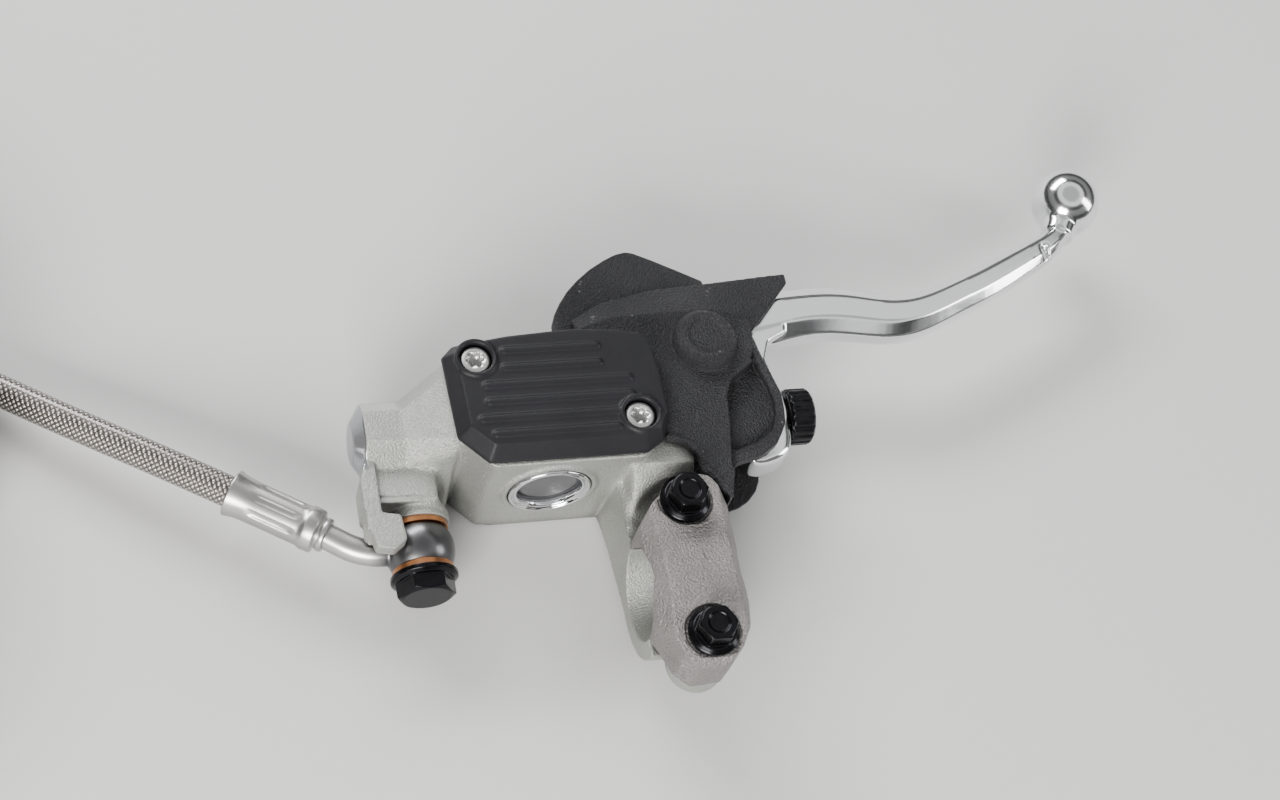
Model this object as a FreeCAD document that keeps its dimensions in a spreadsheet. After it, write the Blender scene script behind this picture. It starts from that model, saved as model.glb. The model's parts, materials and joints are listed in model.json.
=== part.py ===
import FreeCAD, Part
import math
import os
import re
import Sketcher

# Motorcycle front brake master cylinder with its lever, guard, banjo fitting and hose.
# Millimetres. Origin: centre of the handlebar clamp bore. +X runs along the handlebar towards
# the lever's tip, +Y points forward, away from the rider, and +Z is up, normal to the cover.

DRIVING_SIZES = {
    "bar_dia": 22.2,            # handlebar that the clamp grips
    "clamp_width": 22.0,
    "clamp_wall": 4.4,          # casting round the bar
    "clamp_gap": 1.0,           # between cap and body half
    "bolt_spacing": 33.2,       # between the two clamp bolts, along Y
    "bolt_dia": 6.0,
    "axis_y": 43.6,             # cylinder axis, parallel to X at z = 0
    "bore_dia": 10.0,
    "neck_half": 8.5,           # half the octagonal left end, across flats
    "neck_left": -72.4,
    "barrel_right": 4.0,
    "wall_left": -50.0,         # reservoir block
    "wall_right": -1.5,
    "wall_front": 28.5,         # the side that faces the rider
    "wall_back": 60.0,
    "wall_top": 13.3,
    "wall_bottom": -18.0,
    "cover_thick": 5.0,
    "screw_left_x": -43.8,
    "screw_left_y": 54.2,
    "screw_right_x": -7.5,
    "screw_right_y": 37.1,
    "sight_x": -27.5,
    "sight_dia": 15.0,          # clear diameter of the window
    "pivot_x": 13.8,
    "pivot_y": 58.4,
    "lever_half": 5.0,          # half thickness of the lever's root
    "adjuster_y": 42.8,         # adjuster screw axis, parallel to X at z = 0
    "tip_centre_x": 15.8,       # centre of the adjuster screw's ball nose
    "tip_radius": 2.6,
    "arm_face": 33.6,           # outer face of the lever's arm, where the knob sits
    "ball_x": 125.8,
    "ball_y": 100.6,
    "ball_dia": 17.9,
    "banjo_x": -58.8,           # axis of the hose outlet, parallel to Y
    "banjo_z": -6.0,
    "banjo_face": 23.8,         # machined face of the hose outlet
    "washer_thick": 1.3,
    "eye_thick": 9.5,
    "pipe_dia": 6.2,
    "hose_dia": 7.5,
    "play": 0.05,               # radial running clearance
}

DOCUMENT = FreeCAD.newDocument("brake_master_cylinder")
SHEET = DOCUMENT.addObject("Spreadsheet::Sheet", "Sizes")
for row, (alias, number) in enumerate(DRIVING_SIZES.items(), start=1):
    SHEET.set("A%d" % row, alias)
    SHEET.set("B%d" % row, str(number))
    SHEET.setAlias("B%d" % row, alias)
DOCUMENT.recompute()

VECTOR = FreeCAD.Vector
PARTS = {}


# ---------------------------------------------------------------- helpers

def expression(text):
    """Turn 'axis_y + 3' into 'Sizes.axis_y + 3'."""
    def named(word):
        return "Sizes." + word.group() if word.group() in DRIVING_SIZES else word.group()
    return re.sub(r"[A-Za-z_][A-Za-z_0-9]*", named, str(text))


def size(text):
    """The number that an expression on the sheet stands for."""
    return float(SHEET.evalExpression(expression(text)))


def bind(item, prop, text):
    item.setExpression(prop, expression(text))


def place(item, base, along=(0, 0, 1), built_along=(0, 0, 1)):
    """Put an item at base, with the axis it was built along turned to another direction."""
    turn = FreeCAD.Rotation(VECTOR(*built_along), VECTOR(*along))
    item.Placement = FreeCAD.Placement(VECTOR(*[size(text) for text in base]), turn)
    for axis, text in zip("xyz", base):
        bind(item, "Placement.Base." + axis, text)


def new(kind, label):
    item = DOCUMENT.addObject(kind, label)
    item.Label = label
    return item


def rod(label, base, along, length, radius):
    item = new("Part::Cylinder", label)
    bind(item, "Radius", radius)
    bind(item, "Height", length)
    place(item, base, along)
    return item


def cone(label, base, along, length, first, last):
    item = new("Part::Cone", label)
    bind(item, "Radius1", first)
    bind(item, "Radius2", last)
    bind(item, "Height", length)
    place(item, base, along)
    return item


def ball(label, centre, radius):
    item = new("Part::Sphere", label)
    bind(item, "Radius", radius)
    place(item, centre)
    return item


def prism(label, base, along, length, sides, across_flats, spin=0.0):
    """A regular prism, its sides counted and measured across flats."""
    item = new("Part::Prism", label)
    item.Polygon = sides
    bind(item, "Circumradius", "(%s) / 2 / %.9f" % (across_flats, math.cos(math.pi / sides)))
    bind(item, "Height", length)
    place(item, base, along)
    item.Placement.Rotation = item.Placement.Rotation.multiply(
        FreeCAD.Rotation(VECTOR(0, 0, 1), spin))
    return item


def block(label, low, high):
    item = new("Part::Box", label)
    for prop, start, end in zip(("Length", "Width", "Height"), low, high):
        bind(item, prop, "(%s) - (%s)" % (end, start))
    place(item, low)
    return item


def fuse(label, items):
    item = new("Part::MultiFuse", label)
    item.Shapes = items
    item.Refine = True
    return item


def cut(label, base, tools):
    item = new("Part::Cut", label)
    item.Base = base
    item.Tool = tools[0] if len(tools) == 1 else fuse(label + "_tools", tools)
    item.Refine = False
    return item


def common(label, first, second):
    item = new("Part::Common", label)
    item.Base = first
    item.Tool = second
    return item


def sketch(body, plane, offset, outline):
    """A closed outline on one of the body's origin planes, every corner bound to the sheet."""
    item = body.newObject("Sketcher::SketchObject", body.Label + "_sketch")
    feature = [part for part in body.Origin.OriginFeatures if part.Role == plane][0]
    item.AttachmentSupport = [(feature, "")]
    item.MapMode = "FlatFace"
    bind(item, "AttachmentOffset.Base.z", offset)
    corners = [(size(x), size(y)) for x, y in outline]
    for index, (x, y) in enumerate(corners):
        end_x, end_y = corners[(index + 1) % len(corners)]
        item.addGeometry(Part.LineSegment(VECTOR(x, y, 0), VECTOR(end_x, end_y, 0)), False)
    for index in range(len(corners)):
        item.addConstraint(
            Sketcher.Constraint("Coincident", index, 2, (index + 1) % len(corners), 1))
    for index, corner in enumerate(outline):
        for kind, text in zip(("DistanceX", "DistanceY"), corner):
            number = item.addConstraint(
                Sketcher.Constraint(kind, -1, 1, index, 1, size(text)))
            bind(item, "Constraints[%d]" % number, text)
    return item


def plate(label, plane, low, high, outline, radius=0.0, round_at=None):
    """An outline padded from low to high along the plane's normal, with round corners."""
    body = new("PartDesign::Body", label)
    profile = sketch(body, plane, low, outline)
    pad = body.newObject("PartDesign::Pad", label + "_pad")
    pad.Profile = profile
    bind(pad, "Length", "(%s) - (%s)" % (high, low))
    DOCUMENT.recompute()
    if radius:
        chosen = round_at if round_at is not None else range(len(outline))
        corners = [(size(outline[i][0]), size(outline[i][1])) for i in chosen]
        back = profile.Placement.inverse()
        names = []
        for number, edge in enumerate(pad.Shape.Edges, start=1):
            first, last = [back.multVec(vertex.Point) for vertex in edge.Vertexes][:2]
            upright = math.hypot(first.x - last.x, first.y - last.y) < 1e-6
            if upright and any(math.hypot(first.x - x, first.y - y) < 1e-4 for x, y in corners):
                names.append("Edge%d" % number)
        fillet = body.newObject("PartDesign::Fillet", label + "_fillet")
        fillet.Base = (pad, names)
        fillet.Radius = radius
        DOCUMENT.recompute()
    return body


def loft(label, plane, sections, ruled=True):
    """A solid through outlines at several offsets: [(offset, outline), ...]."""
    body = new("PartDesign::Body", label)
    profiles = [sketch(body, plane, offset, outline) for offset, outline in sections]
    item = body.newObject("PartDesign::AdditiveLoft", label + "_loft")
    item.Profile = profiles[0]
    item.Sections = profiles[1:]
    item.Ruled = ruled
    return body


def turned(label, profile, base=(0, 0, 0), along=(1, 0, 0)):
    """A turned piece: its profile is (distance along the axis, radius) corners."""
    body = new("PartDesign::Body", label)
    item = body.newObject("PartDesign::Revolution", label + "_turned")
    item.Profile = sketch(body, "XY_Plane", 0, profile)
    item.ReferenceAxis = (item.Profile[0], ["H_Axis"])
    item.Angle = 360
    place(body, base, along, (1, 0, 0))
    return body


def ring(label, start, end, inner, outer, base=(0, 0, 0), along=(1, 0, 0)):
    return turned(label, [(start, inner), (end, inner), (end, outer), (start, outer)], base, along)


def group(label, items):
    """Identical loose pieces that share one node."""
    item = new("Part::Compound", label)
    item.Links = items
    return item


def keep(node, item):
    item.Label = node
    PARTS[node] = item
    return item


ON_AXIS = ("0", "axis_y", "0")          # base of everything on the cylinder's axis
UP = (0, 0, 1)
LEFT = (-1, 0, 0)
RIGHT = (1, 0, 0)
TO_RIDER = (0, -1, 0)


# ---------------------------------------------------------------- the casting

COVER_SCREWS = (("screw_left_x", "screw_left_y"), ("screw_right_x", "screw_right_y"))
TANK_OUTLINE = [("-45.5", "36.5"), ("-42", "32.2"), ("-13", "32.2"), ("-12.5", "42"),
                ("-5", "42.5"), ("-5", "56.6"), ("-38", "56.6"), ("-38.5", "49.5"),
                ("-45.5", "49")]
LEDGE_OUTLINE = [("-47.1", "35.9"), ("-42.6", "30.6"), ("-11.4", "30.6"), ("-11", "40.4"),
                 ("-3.4", "41"), ("-3.4", "58.2"), ("-39.6", "58.2"), ("-40.1", "51.1"),
                 ("-47.1", "50.5")]


def octagon(middle, half):
    """A regular octagon round (middle, 0), given half its width across flats."""
    side = half + " * 0.4142"
    signs = [(1, 1, side, half), (1, 1, half, side), (1, -1, half, side), (1, -1, side, half),
             (-1, -1, side, half), (-1, -1, half, side), (-1, 1, half, side), (-1, 1, side, half)]
    return [("%s + %d * %s" % (middle, sign_y, y), "%d * %s" % (sign_z, z))
            for sign_y, sign_z, y, z in signs]


def neck():
    """The octagonal closed end of the cylinder, faced and coned on a lathe."""
    bar = plate("neck_bar", "YZ_Plane", "neck_left", "-52", octagon("axis_y", "neck_half"))
    nose = turned("neck_nose", [
        ("neck_left", "0"), ("neck_left", "4.8"), ("neck_left + 3.2", "9.9"), ("-52", "9.9"),
        ("-52", "0")], ON_AXIS)
    return common("neck", bar, nose)


def outlet_solids():
    """The hose outlet: a flat-topped block, its washer seat, and a stop for the banjo's pipe."""
    outlet_block = block("outlet_block", ("-68.3", "26.4", "-13.6"), ("-54", "axis_y - 4", "3.3"))
    outlet_seat = rod("outlet_seat", ("banjo_x", "28", "banjo_z"), TO_RIDER, "28 - banjo_face",
                      "7.8")
    rib = plate("stop_rib", "XY_Plane", "-5.2", "4.8", [
        ("-72.1", "24.8"), ("-70.6", "22.9"), ("-68.1", "22.9"), ("-68.1", "37"),
        ("-70.4", "37"), ("-72", "32")])
    rib_top = plate("stop_rib_top", "XY_Plane", "-2", "4.7", [
        ("-72", "19.6"), ("-71.1", "18.4"), ("-69.5", "18.4"), ("-69.4", "25.6"),
        ("-71.9", "25.6")])
    lug = plate("stop_lug", "XY_Plane", "1", "4.9", [
        ("-71.2", "19"), ("-70.4", "14.9"), ("-66.3", "14.1"), ("-63.3", "16.4"), ("-63.9", "22.6"),
        ("-68", "23.4"), ("-71.1", "24")], 0.8, (0, 1, 2, 3))
    return [outlet_block, outlet_seat, rib, rib_top, lug]


def casting_solids():
    """The outside of the cylinder body, before anything is bored."""
    block_end = [("54", "wall_top"), ("58.5", "9"), ("58.5", "-12"), ("53", "wall_bottom"),
                 ("33", "wall_bottom"), ("30.5", "-15"), ("34.5", "9"), ("36.5", "wall_top")]
    shoulder = loft("shoulder", "YZ_Plane", [
        ("-60.6", octagon("axis_y", "(neck_half + 0.06)")), ("wall_left + 0.6", block_end)])
    reservoir_bar = plate("reservoir_bar", "XY_Plane", "wall_bottom", "wall_top", [
        ("wall_left", "36.5"), ("-42.5", "wall_front"), ("wall_right - 5.5", "wall_front"),
        ("wall_right", "36"), ("wall_right", "wall_back - 1"), ("-20", "wall_back"),
        ("wall_left", "wall_back - 3.5")], 1.5, (0, 1, 4, 5, 6))
    slant = loft("corner_slant", "XY_Plane", [
        ("wall_bottom - 1", [("-13.2", "26"), ("-2.2", "41"), ("8", "20")]),
        ("wall_top + 1", [("-8.7", "26"), ("2.3", "41"), ("12", "20")])])
    reservoir = cut("reservoir_block", reservoir_bar, [slant])
    barrel = rod("barrel", ("-20", "axis_y", "0"), RIGHT, "barrel_right + 20", "9.6")
    sight_boss = cone("sight_boss", ("sight_x", "wall_front + 2", "0"), TO_RIDER, "2.7",
                      "sight_dia / 2 + 5.4", "sight_dia / 2 + 3.8")
    return [neck(), shoulder, reservoir, barrel, sight_boss] + outlet_solids()


def bar_clamp_half():
    """The half of the handlebar clamp that is cast with the body, and the arm that carries it."""
    round_wall = rod("clamp_wall_round", ("-clamp_width / 2", "0", "0"), RIGHT, "clamp_width",
                     "bar_dia / 2 + clamp_wall")
    lower_boss = rod("lower_bolt_boss", ("0", "-bolt_spacing / 2", "-6"), UP, "6", "6.8")
    upper_boss = block("upper_bolt_boss", ("-clamp_width / 2 + 0.05", "0", "-12"),
                       ("clamp_width / 2 - 0.05", "24.5", "0"))
    arm = loft("clamp_arm", "XZ_Plane", [
        ("6", [("-10.9", "-14.3"), ("10.9", "-14.3"), ("10.9", "-3"), ("-10.9", "-3")]),
        ("-20", [("-11.8", "-16.6"), ("10.7", "-16.6"), ("10.7", "-0.2"), ("-10.6", "-0.2")]),
        ("-36", [("-13.6", "-17.8"), ("6.5", "-17.8"), ("6.5", "4"), ("-11.4", "4")])])
    web = plate("clamp_web", "YZ_Plane", "-9.4", "5.6", [
        ("17.5", "-3"), ("37", "-3"), ("37", "10.2"), ("28", "10.2")])
    solid = fuse("clamp_half_solid", [round_wall, lower_boss, upper_boss, arm, web])
    cap_side = block("cap_side", ("-30", "-60", "-clamp_gap / 2"), ("30", "8", "40"))
    cap_seat = plate("cap_seat", "XY_Plane", "-clamp_gap / 2", "41", [
        ("-31", "-61"), ("31", "-61"), ("31", "19.5"), ("8.8", "19.5"), ("4", "26"), ("1.5", "26"),
        ("-8.8", "17"), ("-31", "17")])
    bolt_seat = rod("upper_bolt_room", ("0", "bolt_spacing / 2", "-clamp_gap / 2 + 0.05"), UP, "42",
                    "8.9")
    return cut("clamp_half", solid, [cap_side, cap_seat, bolt_seat])


def pivot_ears():
    """Two ears that hold the lever's pivot bolt, above and below the lever."""
    ears = []
    for name, low, high in (("upper", "lever_half + 0.4", "lever_half + 5.2"),
                            ("lower", "-lever_half - 5.2", "-lever_half - 0.4")):
        hub = rod(name + "_ear_round", ("pivot_x", "pivot_y", low), UP, "4.8", "7.2")
        root = plate(name + "_ear_root", "XY_Plane", low, high, [
            ("wall_right - 2", "46"), ("pivot_x - 3.5", "pivot_y - 6.3"),
            ("pivot_x + 1", "pivot_y + 7.1"), ("wall_right - 2", "wall_back - 1")])
        ears.extend([hub, root])
    return ears


def casting_cuts():
    """Everything bored, drilled or milled in the body."""
    bore = rod("bore", ("-64", "axis_y", "0"), RIGHT, "barrel_right + 65", "bore_dia / 2")
    counterbore = rod("counterbore", ("barrel_right - 5.5", "axis_y", "0"), RIGHT, "6.5", "7.2")
    circlip_groove = rod("circlip_groove", ("barrel_right - 4.5", "axis_y", "0"), RIGHT,
                         "1.1", "7.9")
    outlet = rod("outlet_thread_hole", ("banjo_x", "banjo_face - 1", "banjo_z"), (0, 1, 0), "13",
                 "4.5")
    outlet_drill = rod("outlet_drill", ("banjo_x", "banjo_face + 11", "banjo_z + 2.6"), (0, 1, 0),
                       "7", "1.4")
    outlet_groove = block("outlet_groove", ("-74", "27.6", "2.7"), ("-52", "28.3", "4"))
    tank = plate("tank", "XY_Plane", "9.3", "wall_top + 1", TANK_OUTLINE, 1.2)
    tank_front = block("tank_front", ("-43.6", "34.4", "-14"), ("-13", "36.9", "10"))
    tank_back = block("tank_back", ("-37", "53.6", "-10"), ("-6", "56.4", "10"))
    ledge = plate("tank_ledge", "XY_Plane", "wall_top - 1.2", "wall_top + 1", LEDGE_OUTLINE, 1.6)
    feed_port = rod("feed_port", ("-20", "axis_y", "2"), UP, "8", "1.5")
    relief_port = rod("relief_port", ("-36.2", "axis_y", "2"), UP, "8", "0.6")
    window_seat = rod("window_seat", ("sight_x", "30.4", "0"), TO_RIDER, "5", "sight_dia / 2 + 2.5")
    window_bore = rod("window_bore", ("sight_x", "33.8", "0"), TO_RIDER, "5", "sight_dia / 2 + 1.3")
    window = rod("window", ("sight_x", "35.5", "0"), TO_RIDER, "4", "sight_dia / 2")
    screws = [rod("cover_thread_%d" % number, (x, y, "wall_top - 9"), UP, "10", "1.7")
              for number, (x, y) in enumerate(COVER_SCREWS)]
    bar = rod("bar_bore", ("-30", "0", "0"), RIGHT, "60", "bar_dia / 2")
    bolts = [rod("clamp_thread_%d" % side, ("0", "%d * bolt_spacing / 2" % side, "-20"), UP, "30",
                 "bolt_dia / 2 + play") for side in (-1, 1)]
    pivot = rod("pivot_hole", ("pivot_x", "pivot_y", "-20"), UP, "40", "3 + play")
    lever_room = block("lever_room", ("barrel_right + 2.5", "24", "-lever_half - 0.5"),
                       ("40", "70", "lever_half + 0.4"))
    hub_room = rod("hub_room", ("pivot_x", "pivot_y", "-lever_half - 0.4"), UP,
                   "2 * lever_half + 0.8", "9")
    return [bore, counterbore, circlip_groove, outlet, outlet_drill, outlet_groove, tank,
            tank_front, tank_back, ledge, feed_port, relief_port, window_seat, window_bore,
            window, bar, pivot, lever_room, hub_room] + screws + bolts


def cylinder_body():
    solid = fuse("body_solid", casting_solids() + [bar_clamp_half()] + pivot_ears())
    keep("cylinder_body", cut("cylinder_body", solid, casting_cuts()))


# ---------------------------------------------------------------- reservoir and window

COVER_OUTLINE = [("-50.2", "36"), ("-43.8", "29.2"), ("-6.2", "29.2"), ("-2.2", "31.6"),
                 ("0.2", "37"), ("0.2", "48"), ("-0.6", "57.2"), ("-3", "59.6"), ("-11", "61.2"),
                 ("-20", "61.8"), ("-36", "60.8"), ("-48.2", "59.6"), ("-51", "56.8")]
COVER_TOP = [("-47.6", "37"), ("-42.6", "31.8"), ("-6.6", "31.8"), ("-3.4", "33.2"),
             ("-0.9", "38"), ("-0.9", "48"), ("-1.7", "56.4"), ("-3.8", "58.6"), ("-11.4", "60"),
             ("-20", "60.6"), ("-35.6", "59.6"), ("-46", "58.1"), ("-48.2", "55.9")]


def reservoir_cover():
    rim = loft("cover_rim", "XY_Plane", [("wall_top", COVER_OUTLINE),
                                         ("wall_top + 1.2", COVER_OUTLINE)])
    top = loft("cover_top", "XY_Plane", [("wall_top + 1.2", COVER_OUTLINE),
                                         ("wall_top + cover_thick", COVER_TOP)])
    bosses = [cone("cover_boss_%d" % number, (x, y, "wall_top + 3.6"), UP, "2", "5.2", "4.7")
              for number, (x, y) in enumerate(COVER_SCREWS)]
    recesses = [rod("cover_recess_%d" % number, (x, y, "wall_top + 2.6"), UP, "9", "3.9")
                for number, (x, y) in enumerate(COVER_SCREWS)]
    holes = [rod("cover_hole_%d" % number, (x, y, "wall_top - 1"), UP, "9", "2.15")
             for number, (x, y) in enumerate(COVER_SCREWS)]
    solid = fuse("cover_solid", [rim, top] + bosses)
    keep("reservoir_cover", cut("reservoir_cover", solid, recesses + holes))


def cover_screws():
    screws = []
    for number, (x, y) in enumerate(COVER_SCREWS):
        blank = turned("cover_screw_blank_%d" % number, [
            ("-10.2", "0"), ("-9.4", "1.5"), ("-2.7", "1.5"), ("0.1", "2"), ("0.1", "3.6"),
            ("1.3", "3.6"), ("2", "2.9"), ("2", "0")], (x, y, "wall_top + 2.6"), UP)
        socket = prism("cover_socket_%d" % number, (x, y, "wall_top + 3.2"), UP, "3", 6, "3.3")
        screws.append(cut("cover_screw_%d" % number, blank, [socket]))
    keep("cover_screws", group("cover_screws", screws))


def inset(outline, amount):
    """The outline with every corner drawn towards its middle by about the amount."""
    middle_x = sum(size(x) for x, _ in outline) / len(outline)
    middle_y = sum(size(y) for _, y in outline) / len(outline)
    drawn = []
    for x, y in outline:
        drawn.append(("%s %s %g" % (x, "-" if size(x) > middle_x else "+", amount),
                      "%s %s %g" % (y, "-" if size(y) > middle_y else "+", amount)))
    return drawn


def reservoir_diaphragm():
    flange = plate("diaphragm_flange", "XY_Plane", "wall_top - 1.15", "wall_top - 0.05",
                   inset(LEDGE_OUTLINE, 0.15), 1.5)
    dish = plate("diaphragm_dish", "XY_Plane", "wall_top - 3.6", "wall_top - 1", inset(
        TANK_OUTLINE, 0.4), 1.2)
    hollow = plate("diaphragm_hollow", "XY_Plane", "wall_top - 2.8", "wall_top + 1", inset(
        TANK_OUTLINE, 1.3), 1.0)
    solid = fuse("diaphragm_solid", [flange, dish])
    keep("reservoir_diaphragm", cut("reservoir_diaphragm", solid, [hollow]))


def sight_glass():
    """The window in the reservoir's wall: seal, lens and pressed ring, from inside out."""
    at_window = ("sight_x", "0", "0")
    keep("sight_glass_seal", ring("sight_glass_seal", "-33.75", "-32.45", "sight_dia / 2 + 0.1",
                                  "sight_dia / 2 + 1.25", at_window, TO_RIDER))
    keep("sight_glass_lens", turned("sight_glass_lens", [
        ("-32.4", "0"), ("-32.4", "sight_dia / 2 + 1.25"), ("-30.45", "sight_dia / 2 + 1.25"),
        ("-30.45", "sight_dia / 2 - 0.1"), ("-29.8", "sight_dia / 2 - 0.8"), ("-29.6", "0")],
        at_window, TO_RIDER))
    keep("sight_glass_ring", turned("sight_glass_ring", [
        ("-30.4", "sight_dia / 2"), ("-30.4", "sight_dia / 2 + 2.45"),
        ("-28.1", "sight_dia / 2 + 2.45"), ("-27.5", "sight_dia / 2 + 1.9"),
        ("-27.5", "sight_dia / 2 + 0.9"), ("-28.4", "sight_dia / 2")], at_window, TO_RIDER))


# ---------------------------------------------------------------- handlebar clamp

def clamp_cap():
    crown = "bar_dia / 2 + clamp_wall - 0.7"
    upper = plate("cap_block", "YZ_Plane", "-clamp_width / 2", "clamp_width / 2", [
        ("-25", "clamp_gap / 2"), ("25", "clamp_gap / 2"), ("25", "10.5"), ("22.5", "13.6"),
        ("11", "14.2"), ("5", crown), ("-5", crown), ("-11", "14.2"), ("-22.5", "13.6"),
        ("-25", "10.5")])
    plan = plate("cap_plan", "XY_Plane", "-1", "30", [
        ("-11", "-12"), ("-7.4", "-21"), ("-4", "-24.2"), ("3.2", "-23.8"), ("6.4", "-20.6"),
        ("9.5", "-15"), ("11", "-9"), ("11", "16"), ("7.4", "22"), ("3.4", "24.6"), ("-1", "22.6"),
        ("-7.6", "16.6"), ("-11", "12.4")], 1.5)
    trimmed = common("cap_trimmed", upper, plan)
    bar = rod("cap_bore", ("-30", "0", "0"), RIGHT, "60", "bar_dia / 2")
    holes = [rod("cap_hole_%d" % side, ("0", "%d * bolt_spacing / 2" % side, "-2"), UP, "30",
                 "bolt_dia / 2 + 0.25") for side in (-1, 1)]
    seats = [rod("cap_seat_%d" % side, ("0", "%d * bolt_spacing / 2" % side, "13.4"), UP, "10",
                 "6.6") for side in (-1, 1)]
    bevels = [plate("cap_bevel_%d" % side, "XZ_Plane", "-40", "40", [
        ("%d * 11.5" % side, "9.5"), ("%d * 11.5" % side, "20"), ("%d * 6.5" % side, "20"),
        ("%d * 7.8" % side, "15.2")]) for side in (-1, 1)]
    keep("clamp_cap", cut("clamp_cap", trimmed, [bar] + holes + seats + bevels))


def clamp_bolts():
    bolts = []
    for side in (-1, 1):
        base = ("0", "%d * bolt_spacing / 2" % side, "13.45")
        shank = turned("clamp_bolt_shank_%d" % side, [
            ("-19.2", "0"), ("-19.2", "2.4"), ("-18.6", "bolt_dia / 2"), ("0", "bolt_dia / 2"),
            ("0", "6"), ("1", "6"), ("1.9", "4.9"), ("1.9", "0")], base, UP)
        head = prism("clamp_bolt_head_%d" % side, base, UP, "6", 6, "8")
        trim = turned("clamp_bolt_trim_%d" % side, [
            ("0.5", "0"), ("0.5", "5"), ("5.3", "5"), ("6", "3.9"), ("6", "0")], base, UP)
        hexagon = common("clamp_bolt_hexagon_%d" % side, head, trim)
        dimple = cone("clamp_bolt_dimple_%d" % side,
                      ("0", "%d * bolt_spacing / 2" % side, "19"), UP, "0.6", "2.2", "2.8")
        bolts.append(cut("clamp_bolt_%d" % side, fuse("clamp_bolt_solid_%d" % side,
                                                      [shank, hexagon]), [dimple]))
    keep("clamp_bolts", group("clamp_bolts", bolts))


# ---------------------------------------------------------------- inside the cylinder

def hydraulics():
    """Everything that slides in the bore, from the closed left end to the pushrod."""
    bore = "bore_dia / 2"
    keep("piston", turned("piston", [
        ("-35", "0"), ("-35", "2.2"), ("-31", "2.2"), ("-31", bore + " - play"),
        ("-27.5", bore + " - play"), ("-26.5", "3.2"), ("-12", "3.2"), ("-12", bore + " - play"),
        ("-9.9", bore + " - play"), ("-9.9", "3.2"), ("-6.1", "3.2"), ("-6.1", bore + " - play"),
        ("-1.6", bore + " - play"), ("-1.6", "3"), ("-6", "2.65"), ("-7.2", "0")], ON_AXIS))
    keep("primary_cup", turned("primary_cup", [
        ("-31.05", "2.25"), ("-31.05", "4.7"), ("-35.2", bore + " - 0.02"),
        ("-35.4", "4.3"), ("-33", "3.6"), ("-32.6", "2.25")], ON_AXIS))
    keep("secondary_cup", turned("secondary_cup", [
        ("-6.2", "3.25"), ("-6.2", "4.7"), ("-9.5", bore + " - 0.02"), ("-9.8", "4.4"),
        ("-8", "3.9"), ("-7.8", "3.25")], ON_AXIS))
    keep("pushrod", turned("pushrod", [
        ("-7.1", "0"), ("-6.3", "1.8"), ("-5", "2.4"), ("9.6", "2.4"), ("10.2", "1.9"),
        ("10.9", "1.9"), ("11.1", "5"), ("12.4", "5"), ("13.1", "4.4"), ("13.1", "0")], ON_AXIS))
    keep("retaining_washer", ring("retaining_washer", "barrel_right - 5.45", "barrel_right - 4.55",
                                  "3.6", "7.1", ON_AXIS))
    clip = ring("circlip_ring", "barrel_right - 4.45", "barrel_right - 3.45", "5.9", "7.8", ON_AXIS)
    gap = block("circlip_gap", ("barrel_right - 6", "axis_y", "-1.6"), ("8", "60", "1.6"))
    keep("circlip", cut("circlip", clip, [gap]))
    keep("dust_boot", turned("dust_boot", [
        ("barrel_right - 3.4", "5"), ("barrel_right - 3.4", "7.1"), ("barrel_right - 1.4", "7.1"),
        ("5", "5.9"), ("6.6", "6.6"), ("7.6", "4.4"), ("9", "5.2"), ("9.9", "3.2"), ("10.8", "3.1"),
        ("10.8", "1.95"), ("10.25", "1.95"), ("9.6", "2.45"), ("9.2", "2.45"), ("8.9", "4.3"),
        ("7.6", "3.5"), ("6.5", "5.7"), ("5", "5"), ("barrel_right - 1.6", "5.6")], ON_AXIS))


def return_spring():
    """A compression spring between the closed end of the bore and the primary cup."""
    start, end, turns, wire, mean = -63.6, -35.6, 8, 0.6, 3.6
    pitch = (end - start - 2 * wire) / turns
    path = Part.makeHelix(pitch, pitch * turns, mean)
    profile = Part.Wire(Part.makeCircle(wire, VECTOR(mean, 0, 0), VECTOR(0, 1, 0)))
    coil = Part.Wire(path.Edges).makePipeShell([profile], True, True)
    item = new("Part::Feature", "return_spring")
    item.Shape = coil
    item.Placement = FreeCAD.Placement(VECTOR(start + wire, size("axis_y"), 0),
                                       FreeCAD.Rotation(VECTOR(0, 0, 1), VECTOR(1, 0, 0)))
    keep("return_spring", item)


# ---------------------------------------------------------------- lever

# Stations of the lever's grip: x, centre y, half width, half thickness.
GRIP_STATIONS = [(27, 67.8, 6.2, 4.8), (36, 69.8, 7.4, 4.8), (46, 70.9, 6.7, 4.7),
                 (56, 70.4, 6.8, 4.6), (64, 68.9, 6.5, 4.5), (72, 68.6, 5.9, 4.4),
                 (80, 70.6, 5.4, 4.3), (90, 74.6, 5.1, 4.2), (101, 79.5, 4.9, 4.1),
                 (111, 84.4, 4.4, 3.9), (118, 88.4, 4.0, 3.7), (123, 93.2, 4.0, 3.4)]


def grip_section(centre, half_width, half_thick):
    """A rounded bar's section: an octagon with its corners at 45 degrees."""
    flat_y, flat_z = half_width * 0.45, half_thick * 0.45
    corners = [(flat_y, half_thick), (half_width, flat_z), (half_width, -flat_z),
               (flat_y, -half_thick), (-flat_y, -half_thick), (-half_width, -flat_z),
               (-half_width, flat_z), (-flat_y, half_thick)]
    return [("%.4f" % (centre + y), "%.4f" % z) for y, z in corners]


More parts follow.
